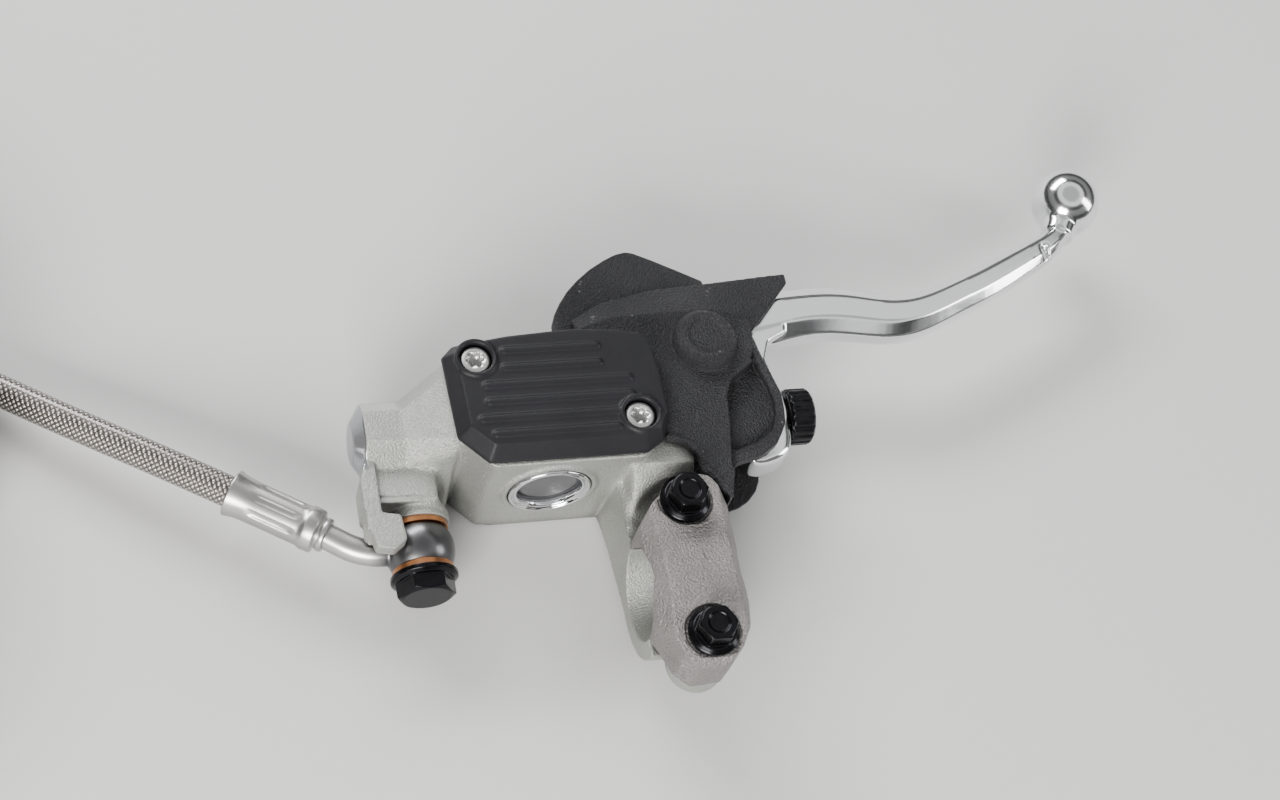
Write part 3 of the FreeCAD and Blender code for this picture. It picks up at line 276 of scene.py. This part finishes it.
def moulded_plastic(name, color, light, grain, depth, rough, edge_wear_and_highlight_span=(0.53, 0.62)):
    """Black moulded plastic with a leather-like grain, paler edges that are partly wear and
    partly painted highlight, and painted shade in the creases.
    """
    material, tree, shader = new_material(name, color, rough, 0.0, IOR=1.46,
                                          Specular_IOR_Level=0.24)
    spot = source_place(tree)
    cells = add(tree, "ShaderNodeTexVoronoi")
    cells.feature = "SMOOTH_F1"
    cells.inputs["Scale"].default_value = grain
    cells.inputs["Smoothness"].default_value = 0.6
    wire(tree, spot, cells.inputs["Vector"])
    fine = noise_value(tree, spot, grain * 2.3, 2.0)
    height = math_node(tree, "ADD", cells.outputs["Distance"],
                       math_node(tree, "MULTIPLY", fine, 0.6))
    broad = noise_value(tree, spot, 60, 3.0)
    shade = mix_colors(tree, ramp(tree, broad, [(0.3, 0.0), (0.75, 1.0)]), color,
                       tuple(c * 1.35 for c in color))
    # Paler convex edges: partly wear, partly painted highlight.
    shade = mix_colors(tree, edge_wear_and_highlight(tree, *edge_wear_and_highlight_span), shade, light)
    # Painted shade: the colour is darkened in creases by ambient occlusion.
    shade = painted_crevice_shade(tree, shade, 0.003, 0.7)
    wire(tree, shade, shader.inputs["Base Color"])
    wire(tree, ramp(tree, fine, [(0.2, rough - 0.07), (0.8, rough + 0.1)]),
         shader.inputs["Roughness"])
    bump(tree, shader, height, 0.7, depth)
    return material


def polished_metal(name, color, rough, scratch=0.04, scale=(30, 900, 900), fade=None):
    """Polished or turned metal: very fine scratches along X and smudged gloss."""
    material, tree, shader = new_material(name, color, rough, 1.0)
    source = source_place(tree)
    mapping = add(tree, "ShaderNodeMapping")
    mapping.inputs["Scale"].default_value = scale
    wire(tree, source, mapping.inputs["Vector"])
    lines = noise_value(tree, mapping.outputs["Vector"], 2.0, 4.0, 0.7)
    smudge = noise_value(tree, source, 70, 3.0)
    level = math_node(tree, "ADD", math_node(tree, "MULTIPLY", lines, scratch * 2),
                      math_node(tree, "MULTIPLY", smudge, scratch * 2))
    wire(tree, math_node(tree, "ADD", level, rough - scratch), shader.inputs["Roughness"])
    shade = mix_colors(tree, smudge, tuple(c * 0.93 for c in color), color)
    if fade is not None:
        left, right, brighter = fade
        across = add(tree, "ShaderNodeSeparateXYZ")
        wire(tree, source, across.inputs[0])
        along = add(tree, "ShaderNodeMapRange")
        along.inputs["From Min"].default_value = left
        along.inputs["From Max"].default_value = right
        wire(tree, across.outputs["X"], along.inputs["Value"])
        shade = mix_colors(tree, along.outputs["Result"], brighter, shade)
    wire(tree, shade, shader.inputs["Base Color"])
    bump(tree, shader, lines, 0.06, 0.00002)
    return material


def dark_metal(name, color, rough, **sockets):
    """Blackened or dark steel: mottled oxide with a glossy, slightly uneven skin."""
    material, tree, shader = new_material(name, color, rough, 0.9, **sockets)
    spot = source_place(tree)
    mottle = noise_value(tree, spot, 700, 4.0)
    shade = mix_colors(tree, mottle, tuple(c * 0.7 for c in color), tuple(c * 1.5 for c in color))
    wire(tree, shade, shader.inputs["Base Color"])
    wire(tree, ramp(tree, mottle, [(0.2, rough * 0.6), (0.8, rough * 1.5)]),
         shader.inputs["Roughness"])
    bump(tree, shader, mottle, 0.15, 0.00003)
    return material


def rubber(name, color):
    material, tree, shader = new_material(name, color, 0.6)
    spot = source_place(tree)
    fine = noise_value(tree, spot, 1500, 2.0)
    shade = mix_colors(tree, fine, tuple(c * 0.8 for c in color), tuple(c * 1.4 for c in color))
    wire(tree, shade, shader.inputs["Base Color"])
    bump(tree, shader, fine, 0.3, 0.00004)
    return material


def window_glass(name):
    material, tree, shader = new_material(name, (0.08, 0.08, 0.085), 0.45, 0.0, IOR=1.45,
                                          Specular_IOR_Level=0.3)
    spot = source_place(tree)
    haze = noise_value(tree, spot, 260, 4.0)
    wire(tree, mix_colors(tree, haze, (0.06, 0.06, 0.063), (0.11, 0.11, 0.115)),
         shader.inputs["Base Color"])
    wire(tree, ramp(tree, haze, [(0.3, 0.4), (0.8, 0.58)]), shader.inputs["Roughness"])
    return material


def braid(name, picks_along, picks_around):
    """Stainless braid seen through a clear coat: two crossing sets of strands."""
    material, tree, shader = new_material(name, (0.5, 0.47, 0.44), 0.34, 0.75,
                                          Coat_Weight=0.9, Coat_Roughness=0.12)
    hose = add(tree, "ShaderNodeUVMap")
    hose.uv_map = "hose"
    parts = add(tree, "ShaderNodeSeparateXYZ")
    wire(tree, hose.outputs[0], parts.inputs[0])
    along = math_node(tree, "MULTIPLY", parts.outputs["X"], picks_along)
    around = math_node(tree, "MULTIPLY", parts.outputs["Y"], picks_around)
    turn = 2 * math.pi
    waves = []
    for operation in ("ADD", "SUBTRACT"):
        slant = math_node(tree, operation, along, around)
        wave = math_node(tree, "SINE", math_node(tree, "MULTIPLY", slant, turn))
        waves.append(math_node(tree, "ADD", math_node(tree, "MULTIPLY", wave, 0.5), 0.5))
    crossing = math_node(tree, "MULTIPLY", waves[0], waves[1])
    spot = source_place(tree)
    fleck = noise_value(tree, spot, 900, 2.0)
    shade = mix_colors(tree, ramp(tree, crossing, [(0.08, 0.0), (0.62, 1.0)]),
                       (0.06, 0.05, 0.045), (0.60, 0.56, 0.52))
    shade = mix_colors(tree, ramp(tree, fleck, [(0.35, 0.0), (0.8, 0.35)]), shade,
                       (0.30, 0.27, 0.25))
    wire(tree, shade, shader.inputs["Base Color"])
    bump(tree, shader, crossing, 0.7, 0.00025)
    return material


def make_materials():
    return {
        "cast_body": cast_metal("cast_body", (0.40, 0.405, 0.38), 2200, 0.0004, 0.16,
                                (-0.0699, 0.0345)),
        "cast_cap": cast_metal("cast_cap", (0.26, 0.247, 0.24), 1700, 0.0008, 0.22),
        "polished_lever": polished_metal("polished_lever", (0.90, 0.91, 0.92), 0.11),
        "anodised_piston": polished_metal("anodised_piston", (0.50, 0.45, 0.33), 0.35),
        "cover_plastic": moulded_plastic("cover_plastic", (0.012, 0.012, 0.014),
                                         (0.05, 0.05, 0.053), 3800, 0.00005, 0.42),
        "guard_plastic": moulded_plastic("guard_plastic", (0.019, 0.019, 0.021),
                                         (0.11, 0.11, 0.115), 2000, 0.0007, 0.38,
                                         (0.535, 0.62)),
        "knob_black": dark_metal("knob_black", (0.018, 0.018, 0.02), 0.3),
        "tie_plastic": rubber("tie_plastic", (0.03, 0.03, 0.03)),
        "rubber": rubber("rubber", (0.02, 0.02, 0.02)),
        "sight_lens": window_glass("sight_lens"),
        "chrome_ring": polished_metal("chrome_ring", (0.82, 0.83, 0.85), 0.08, 0.02),
        "zinc_steel": polished_metal("zinc_steel", (0.66, 0.66, 0.65), 0.28, 0.06,
                                     (500, 500, 500)),
        "turned_steel": polished_metal("turned_steel", (0.62, 0.62, 0.63), 0.22),
        "black_steel": dark_metal("black_steel", (0.014, 0.014, 0.016), 0.2),
        "dark_steel": polished_metal("dark_steel", (0.13, 0.13, 0.135), 0.27, 0.05,
                                     (400, 400, 400), (-0.071, -0.067, (0.50, 0.49, 0.48))),
        "stainless": polished_metal("stainless", (0.50, 0.49, 0.48), 0.25, 0.08,
                                    (200, 1200, 1200)),
        "hose_braid": braid("hose_braid", 1 / 0.00135, 14),
        "copper": polished_metal("copper", (0.50, 0.22, 0.10), 0.24, 0.06, (400, 400, 400)),
        "bush_brass": polished_metal("bush_brass", (0.72, 0.56, 0.28), 0.25),
    }


# ---------------------------------------------------------------- mesh helpers

def dress(piece, slot, body):
    """Give a piece its material, its slot and the body that it rides on."""
    piece.data.materials.clear()
    piece.data.materials.append(MATERIALS[slot])
    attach(piece, body)


def link(name, data, slot, body):
    piece = bpy.data.objects.new(name, data)
    bpy.context.scene.collection.objects.link(piece)
    dress(piece, slot, body)
    return piece


EASING_ROUNDS = 240


def softened(node, slot, voxel, rounds, body, grain=None, added=(), eased=None):
    """A CAD node's shape as one smooth skin: remeshed finely, its edges eased and grained.

    The meshes in added are merged into it. grain is the size and depth of a coarse
    displacement. eased is a function of a point in mm that says how strongly it is rounded
    further, from 0 to 1.
    """
    shape = bmesh.new()
    for data in [NODES[node].data, *added]:
        shape.from_mesh(data)
    piece = bpy.data.objects.new(node + "_skin", mesh_data(shape, node + "_base"))
    bpy.context.scene.collection.objects.link(piece)
    remesh = piece.modifiers.new("remesh", "REMESH")
    remesh.mode = "VOXEL"
    remesh.voxel_size = voxel
    remesh.use_smooth_shade = True
    add_smoothing(piece, "smooth", rounds)
    apply_modifiers(piece)
    if eased is not None:
        group = piece.vertex_groups.new(name="eased")
        for vertex in piece.data.vertices:
            weight = eased(vertex.co / MM)
            if weight > 0:
                group.add([vertex.index], weight, "REPLACE")
        add_smoothing(piece, "ease", EASING_ROUNDS).vertex_group = group.name
    if grain is not None:
        texture = bpy.data.textures.new(node + "_grain", "CLOUDS")
        texture.noise_scale, texture.noise_depth = grain[0], 2
        shift = piece.modifiers.new("grain", "DISPLACE")
        shift.texture = texture
        shift.texture_coords = "LOCAL"
        shift.strength = grain[1]
        shift.mid_level = 0.75
    apply_modifiers(piece)
    piece.vertex_groups.clear()
    dress(piece, slot, body)
    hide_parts(node)
    return piece


def mesh_data(mesh, name):
    data = bpy.data.meshes.new(name)
    mesh.to_mesh(data)
    mesh.free()
    return data


def add_smoothing(piece, name, rounds):
    smooth = piece.modifiers.new(name, "SMOOTH")
    smooth.factor = 0.5
    smooth.iterations = rounds
    return smooth


def apply_modifiers(piece):
    """Replace a piece's mesh with what its modifiers make of it."""
    evaluated = piece.evaluated_get(bpy.context.evaluated_depsgraph_get())
    final = bpy.data.meshes.new_from_object(evaluated)
    piece.modifiers.clear()
    piece.data = final


def bump_weight(point, middle, reach):
    """1 at middle, falling smoothly to 0 at reach along each axis."""
    far = max(abs(p - m) / r for p, m, r in zip(point, middle, reach))
    return max(0.0, min(1.0, 2.2 * (1 - far)))


# Middle and reach, in mm, of the places that are rounded further.
SHOULDER = ((-49, 33, -4), (10, 9, 17))
WEB = ((-9, 27, 2), (6, 11, 9))
ARM_END = ((29, 33, 0), (12, 13, 9))
SCREW_AXIS_Y = 42.8
SCREW_CLEAR = 4.6           # radius round the adjuster's axis that stays as it is
SCREW_FADE = 1.6            # the easing reaches its full strength this much farther out


def body_easing(point):
    """Where the casting's facets run into each other on large radii."""
    return max(bump_weight(point, *SHOULDER), bump_weight(point, *WEB))


def lever_easing(point):
    """The arm's end is one large round, left sharp only beside the adjuster's hole."""
    clear = (math.hypot(point[1] - SCREW_AXIS_Y, point[2]) - SCREW_CLEAR) / SCREW_FADE
    return bump_weight(point, *ARM_END) * max(0.0, min(1.0, clear))


def ring_mesh(name, centre, radius, thickness):
    """A closed round bead, level, its centre and sizes in mm."""
    points = [Vector(centre) * MM + radius * MM * Vector((math.cos(turn), math.sin(turn), 0))
              for turn in (2 * math.pi * step / 64 for step in range(64))]
    points += [points[0], points[1]]
    data, _ = sweep(name, points, thickness * MM, 16)
    return data


def nurbs_points(control):
    """Points along the quadratic NURBS line through a control polygon."""
    curve = bpy.data.curves.new("route", "CURVE")
    curve.dimensions = "3D"
    spline = curve.splines.new("NURBS")
    spline.points.add(len(control) - 1)
    for point, place in zip(spline.points, control):
        point.co = (*place, 1)
    spline.order_u = 3
    spline.use_endpoint_u = True
    spline.resolution_u = 8
    line = bpy.data.objects.new("route", curve)
    bpy.context.scene.collection.objects.link(line)
    bpy.context.view_layer.update()
    evaluated = line.evaluated_get(bpy.context.evaluated_depsgraph_get())
    data = bpy.data.meshes.new_from_object(evaluated)
    points = [vertex.co.copy() for vertex in data.vertices]
    bpy.data.objects.remove(line)
    bpy.data.meshes.remove(data)
    return points


def sweep(name, points, radius, sides):
    """A round tube along points, with a UV layer of metres along it and turns around it."""
    mesh = bmesh.new()
    layer = mesh.loops.layers.uv.new("hose")
    rings, lengths = [], [0.0]
    normal = (points[1] - points[0]).orthogonal().normalized()
    for index, point in enumerate(points):
        before = points[max(index - 1, 0)]
        after = points[min(index + 1, len(points) - 1)]
        way = (after - before).normalized()
        normal = (normal - way * normal.dot(way)).normalized()
        side = way.cross(normal)
        if index:
            lengths.append(lengths[-1] + (point - before).length)
        rings.append([mesh.verts.new(point + radius * (
            normal * math.cos(2 * math.pi * turn / sides)
            + side * math.sin(2 * math.pi * turn / sides))) for turn in range(sides)])
    for index in range(len(rings) - 1):
        for turn in range(sides):
            following = (turn + 1) % sides
            face = mesh.faces.new((rings[index][turn], rings[index][following],
                                   rings[index + 1][following], rings[index + 1][turn]))
            face.smooth = True
            for corner, (step, part) in zip(face.loops, ((0, 0), (0, 1), (1, 1), (1, 0))):
                corner[layer].uv = (lengths[index + step], (turn + part) / sides)
    mesh.faces.new(reversed(rings[0]))
    mesh.faces.new(rings[-1])
    return mesh_data(mesh, name), lengths[-1]


# ---------------------------------------------------------------- hose

HOSE_DIAMETER = 7.5 * MM
HOSE_ROUTE = [(-94.5, 33.28, -6.67), (-114.6, 46.5, -7.9), (-135.0, 59.6, -9.7),
              (-156.5, 74.3, -11.6)]
COIL_RADIUS = 42.0
COIL_PITCH = 7.7
COIL_TURNS = 3
COIL_CENTRE = (-199.5, 51.7, -13.2)
COIL_START = math.atan2(0.853, 0.522)
COIL_STEPS = 16
TAIL_REACH = (7.0, 20.4)
HOSE_END = (-177.6, 87.5)   # x and y where the coil's last turn ends


def hose_route():
    """The lead out of the sleeve, the coil's turns and the tail into the far sleeve."""
    route = [Vector(point) * MM for point in HOSE_ROUTE]
    centre = Vector(COIL_CENTRE) * MM
    outward = 2 / (1 + math.cos(math.pi / COIL_STEPS) ** 2)
    steps = COIL_TURNS * COIL_STEPS
    for step in range(steps + 1):
        angle = COIL_START + 2 * math.pi * step / COIL_STEPS
        spread = outward if 0 < step < steps else 1
        route.append(centre + MM * Vector((
            COIL_RADIUS * spread * math.cos(angle), COIL_RADIUS * spread * math.sin(angle),
            COIL_PITCH * step / COIL_STEPS)))
    way = Vector((-math.sin(COIL_START), math.cos(COIL_START), 0))
    end = route[-1]
    for reach in TAIL_REACH:
        route.append(end + way * reach * MM)
    return route


def make_hose():
    points = nurbs_points(hose_route())
    data, length = sweep("hose", points, HOSE_DIAMETER / 2, 32)
    hose = link("brake_hose_braid", data, "hose_braid", "housing")
    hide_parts("brake_hose", "hose_coil")


# ---------------------------------------------------------------- detailed pieces

def lathe_piece(rings, sides, radius_at):
    """A closed skin from (distance, radius) stations, each ring shaped by radius_at."""
    mesh = bmesh.new()
    loops = []
    for number, (reach, radius) in enumerate(rings):
        loops.append([mesh.verts.new((
            radius_at(number, radius, turn) * math.cos(turn),
            radius_at(number, radius, turn) * math.sin(turn), reach))
            for turn in (2 * math.pi * side / sides for side in range(sides))])
    for first, second in zip(loops, loops[1:] + loops[:1]):
        for side in range(sides):
            after = (side + 1) % sides
            face = mesh.faces.new((first[side], first[after], second[after], second[side]))
            face.smooth = True
    mesh.normal_update()
    return mesh


def finish_mesh(mesh, name, turn, place):
    """Turn a mesh built along Z to its direction, put it in place and return its data."""
    mesh.transform(Matrix.Translation(place) @ turn.to_matrix().to_4x4())
    bmesh.ops.recalc_face_normals(mesh, faces=mesh.faces)
    return mesh_data(mesh, name)


# Stations of a crimped sleeve: distance from the pipe's end and radius, in mm.
SLEEVE_RINGS = [(0.7, 3.14), (0.7, 3.75), (0.85, 4.0), (1.1, 4.1), (1.9, 4.1), (2.15, 3.95),
                (2.3, 3.8), (2.7, 3.8), (2.85, 4.6), (3.05, 5.1), (3.3, 5.22), (5.5, 5.33),
                (6.0, 5.25), (6.4, 5.0), (7.0, 4.9), (7.6, 4.9), (8.4, 4.9), (9.2, 4.9),
                (12.0, 4.9), (15.0, 4.9), (17.6, 4.9), (18.4, 4.9), (19.2, 4.9), (20.2, 4.93),
                (22.4, 5.1), (23.6, 5.3), (24.6, 5.58), (24.85, 5.56), (25.0, 5.4), (25.0, 5.0),
                (24.2, 4.4), (23.0, 3.9), (20.5, 3.79), (18.8, 3.79), (18.8, 3.14)]
FLUTES = 8
FLUTE_DEPTH = 0.42
FLUTE_REACH = (7.6, 19.2)
FLUTE_FADE = 1.2            # length over which a flute runs out at each end
FLUTED_RADIUS = 4.5         # stations below this radius are inside the sleeve


def make_sleeve(node, start, way):
    """A crimped sleeve with lengthwise flutes that the crimping dies press in."""
    def fluted(number, radius, turn):
        reach = SLEEVE_RINGS[number][0]
        inside = FLUTE_REACH[0] < reach < FLUTE_REACH[1] and radius > FLUTED_RADIUS
        if not inside:
            return radius * MM
        pressed = max(0.0, math.cos(FLUTES * turn)) ** 0.5
        ends = min(1.0, (reach - FLUTE_REACH[0]) / FLUTE_FADE,
                   (FLUTE_REACH[1] - reach) / FLUTE_FADE)
        return (radius - FLUTE_DEPTH * pressed * ends) * MM
    rings = [(reach * MM, radius) for reach, radius in SLEEVE_RINGS]
    mesh = lathe_piece(rings, 128, fluted)
    turn = Vector((0, 0, 1)).rotation_difference(Vector(way))
    data = finish_mesh(mesh, node + "_crimped", turn, Vector(start) * MM)
    piece = link(node + "_crimped", data, "stainless", "housing")
    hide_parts(node)
    return piece


SCREW_HEAD = 3.6            # radius of a cover screw's head
SCREW_TOP = 17.9
COVER_SCREWS = ((-43.8, 54.2), (-7.5, 37.1))


def make_cover_screws():
    """Pan-headed screws with a six-lobed socket."""
    joined = bmesh.new()
    stations = [(SCREW_TOP - 3.2, 0.05, True), (SCREW_TOP - 2.8, 1.5, True),
                (SCREW_TOP - 0.35, 1.72, True), (SCREW_TOP - 0.1, 1.86, True),
                (SCREW_TOP - 0.1, 2.6, False), (SCREW_TOP - 0.16, SCREW_HEAD - 0.5, False),
                (SCREW_TOP - 0.34, SCREW_HEAD - 0.2, False), (SCREW_TOP - 0.7, SCREW_HEAD, False),
                (SCREW_TOP - 1.9, SCREW_HEAD, False), (SCREW_TOP - 1.95, 1.6, False),
                (SCREW_TOP - 8, 1.6, False), (SCREW_TOP - 8, 0.05, False)]
    def lobed(number, radius, turn):
        if stations[number][2] and radius > 1:
            radius += 0.34 * math.cos(6 * turn)
        return radius * MM
    for x, y in COVER_SCREWS:
        one = lathe_piece([(reach * MM, radius) for reach, radius, _ in stations], 72, lobed)
        one.transform(Matrix.Translation((x * MM, y * MM, 0)))
        data = mesh_data(one, "screw")
        joined.from_mesh(data)
        bpy.data.meshes.remove(data)
    bmesh.ops.recalc_face_normals(joined, faces=joined.faces)
    data = mesh_data(joined, "cover_screw_heads")
    screws = link("cover_screw_heads", data, "zinc_steel", "housing")
    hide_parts("cover_screws")


# Stations of the window's ring, from the seat outwards along -Y: distance and radius, in mm.
WINDOW_RING = [(0.0, 7.7), (0.0, 9.8), (2.5, 9.8), (2.85, 9.65), (2.95, 9.3), (2.75, 9.05),
               (2.2, 8.95), (2.1, 8.6), (2.55, 8.45), (2.6, 8.1), (2.3, 7.75), (0.9, 7.7)]


WINDOW_SEAT = (-27.5, 30.35, 0)


def make_window_ring():
    """The polished ring round the sight glass: an outer bead, a groove and an inner lip."""
    rings = [(reach * MM, radius) for reach, radius in WINDOW_RING]
    mesh = lathe_piece(rings, 128, lambda number, radius, turn: radius * MM)
    turn = Vector((0, 0, 1)).rotation_difference(Vector((0, -1, 0)))
    data = finish_mesh(mesh, "window_ring", turn, Vector(WINDOW_SEAT) * MM)
    piece = link("window_ring", data, "chrome_ring", "housing")
    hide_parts("sight_glass_ring")


CAP_MARK = [(0.5, 4.2), (-1.5, -0.3), (2.1, 0.4)]
CAP_CROWN = 14.8


def cap_mark():
    """A small plain triangle cast on the clamp's cap."""
    mesh = bmesh.new()
    centre = Vector((sum(x for x, _ in CAP_MARK) / 3, sum(y for _, y in CAP_MARK) / 3, 0))
    loops = []
    for spread, height in ((1.0, -0.5), (1.0, 0.0), (0.72, 0.28)):
        loops.append([mesh.verts.new((centre + (Vector((x, y, 0)) - centre) * spread
                                      + Vector((0, 0, CAP_CROWN + height))) * MM)
                      for x, y in CAP_MARK])
    for first, second in zip(loops, loops[1:]):
        for index in range(3):
            after = (index + 1) % 3
            mesh.faces.new((first[index], first[after], second[after], second[index]))
    mesh.faces.new(loops[-1])
    mesh.faces.new(list(reversed(loops[0])))
    bmesh.ops.recalc_face_normals(mesh, faces=mesh.faces)
    return mesh_data(mesh, "cap_mark")


# Rolled edges of the guard: the radius, then the control points of the edge's line, in mm.
GUARD_BEADS = {
    "rear_lip": (0.8, [(-0.3, 34.2, 11.9), (3.9, 32.6, 11.9), (6.8, 29.4, 11.9),
                       (7.3, 25.0, 11.9), (9.0, 23.2, 11.9), (11.6, 19.0, 11.8)]),
    "ridge": (0.95, [(24.6, 55.0, 11.3), (22.6, 52.2, 11.3), (18.6, 49.6, 11.3),
                     (16.0, 45.2, 11.3), (14.9, 40.0, 11.3), (13.9, 34.6, 11.3),
                     (12.9, 29.0, 11.3), (12.3, 23.6, 11.3), (11.4, 18.4, 11.2)]),
    "pocket_rim": (1.15, [(13.4, 24.6, 8.4), (14.6, 28.2, 9.2), (18.4, 28.9, 9.3),
                          (22.6, 29.9, 9.3), (26.6, 32.4, 9.3), (29.2, 36.8, 9.3),
                          (29.9, 41.6, 9.3), (29.2, 46.8, 9.4), (27.4, 53.0, 9.8),
                          (25.8, 57.4, 10.6)]),
}


def guard_beads():
    """The rolled edges of the guard, as closed round tubes."""
    beads = []
    for name, (radius, line) in GUARD_BEADS.items():
        points = nurbs_points([Vector(point) * MM for point in line])
        beads.append(sweep(name, points, radius * MM, 20)[0])
    return beads


RIB_ROWS = [(-36.9, -14.9, 55.7), (-37.4, -15.0, 51.2), (-42.4, -8.6, 46.8), (-42.4, -8.9, 42.5),
            (-44.6, -12.6, 38.2), (-42.0, -13.4, 34.2)]
RIB_FOOT = 18.22
RIB_PROFILE = [(1.1, 0.0), (0.95, 0.25), (0.7, 0.62)]       # half width and height above the foot


def cover_ribs():
    """Plain low grip ribs across the cover."""
    mesh = bmesh.new()
    for left, right, y in RIB_ROWS:
        loops = []
        for half, height in RIB_PROFILE:
            loop = []
            for end, middle in ((1, right), (-1, left)):
                for step in range(9):
                    turn = math.pi * (step / 8 - 0.5)
                    loop.append(mesh.verts.new((
                        (middle + end * half * math.cos(turn)) * MM,
                        (y + end * half * math.sin(turn)) * MM, (RIB_FOOT + height) * MM)))
            loops.append(loop)
        for first, second in zip(loops, loops[1:]):
            for index in range(len(first)):
                after = (index + 1) % len(first)
                face = mesh.faces.new((first[index], first[after], second[after], second[index]))
                face.smooth = True
        mesh.faces.new(loops[-1])
        mesh.faces.new(list(reversed(loops[0])))
    bmesh.ops.recalc_face_normals(mesh, faces=mesh.faces)
    return mesh_data(mesh, "cover_ribs")


# ---------------------------------------------------------------- whole scene

MATERIALS = make_materials()
set_camera()
set_stage(CAD_BOX[0][2])
for entry in frame["record"]["subparts"]:
    node = NODES[entry["node"]]
    node.data.materials.clear()
    node.data.materials.append(MATERIALS[entry["material_slot"]])

COVER_TOP = 18.3
SCREW_RIM = (4.55, 0.5)         # radius and thickness of the bead round a cover screw
BOSS_RIM = ((13.8, 58.4, 15.55), 5.4, 0.55)
FAR_WAY = Vector((-0.853, 0.522, 0)).normalized()
FAR_START = Vector((*HOSE_END, COIL_CENTRE[2] + COIL_TURNS * COIL_PITCH))
FAR_SLEEVE_REACH = 39       # from the coil's last point to the far sleeve's pipe end
NEAR_SLEEVE = ((-78.94, 23.1, -6.0), (-0.8364, 0.5470, -0.0360))

softened("cylinder_body", "cast_body", 0.28 * MM, 10, "housing", eased=body_easing)
rims = [ring_mesh("rim", (x, y, COVER_TOP + 0.25), *SCREW_RIM) for x, y in COVER_SCREWS]
softened("reservoir_cover", "cover_plastic", 0.2 * MM, 26, "housing",
         added=[cover_ribs(), *rims])
softened("clamp_cap", "cast_cap", 0.22 * MM, 10, "housing", (0.0004, 0.00007),
         added=[cap_mark()])
softened("lever_guard", "guard_plastic", 0.24 * MM, 16, "housing",
         added=[*guard_beads(), ring_mesh("boss_rim", *BOSS_RIM)])
softened("lever", "polished_lever", 0.28 * MM, 16, "lever", eased=lever_easing)
softened("clamp_bolts", "black_steel", 0.14 * MM, 5, "housing")
softened("banjo_bolt", "black_steel", 0.14 * MM, 5, "housing")
softened("banjo_fitting", "dark_steel", 0.2 * MM, 8, "housing")
softened("adjuster_knob", "knob_black", 0.13 * MM, 5, "knob")
make_sleeve("crimp_sleeve", *NEAR_SLEEVE)
far_sleeve = make_sleeve("far_sleeve", FAR_START + FAR_SLEEVE_REACH * FAR_WAY, -FAR_WAY)
make_hose()
make_cover_screws()
make_window_ring()
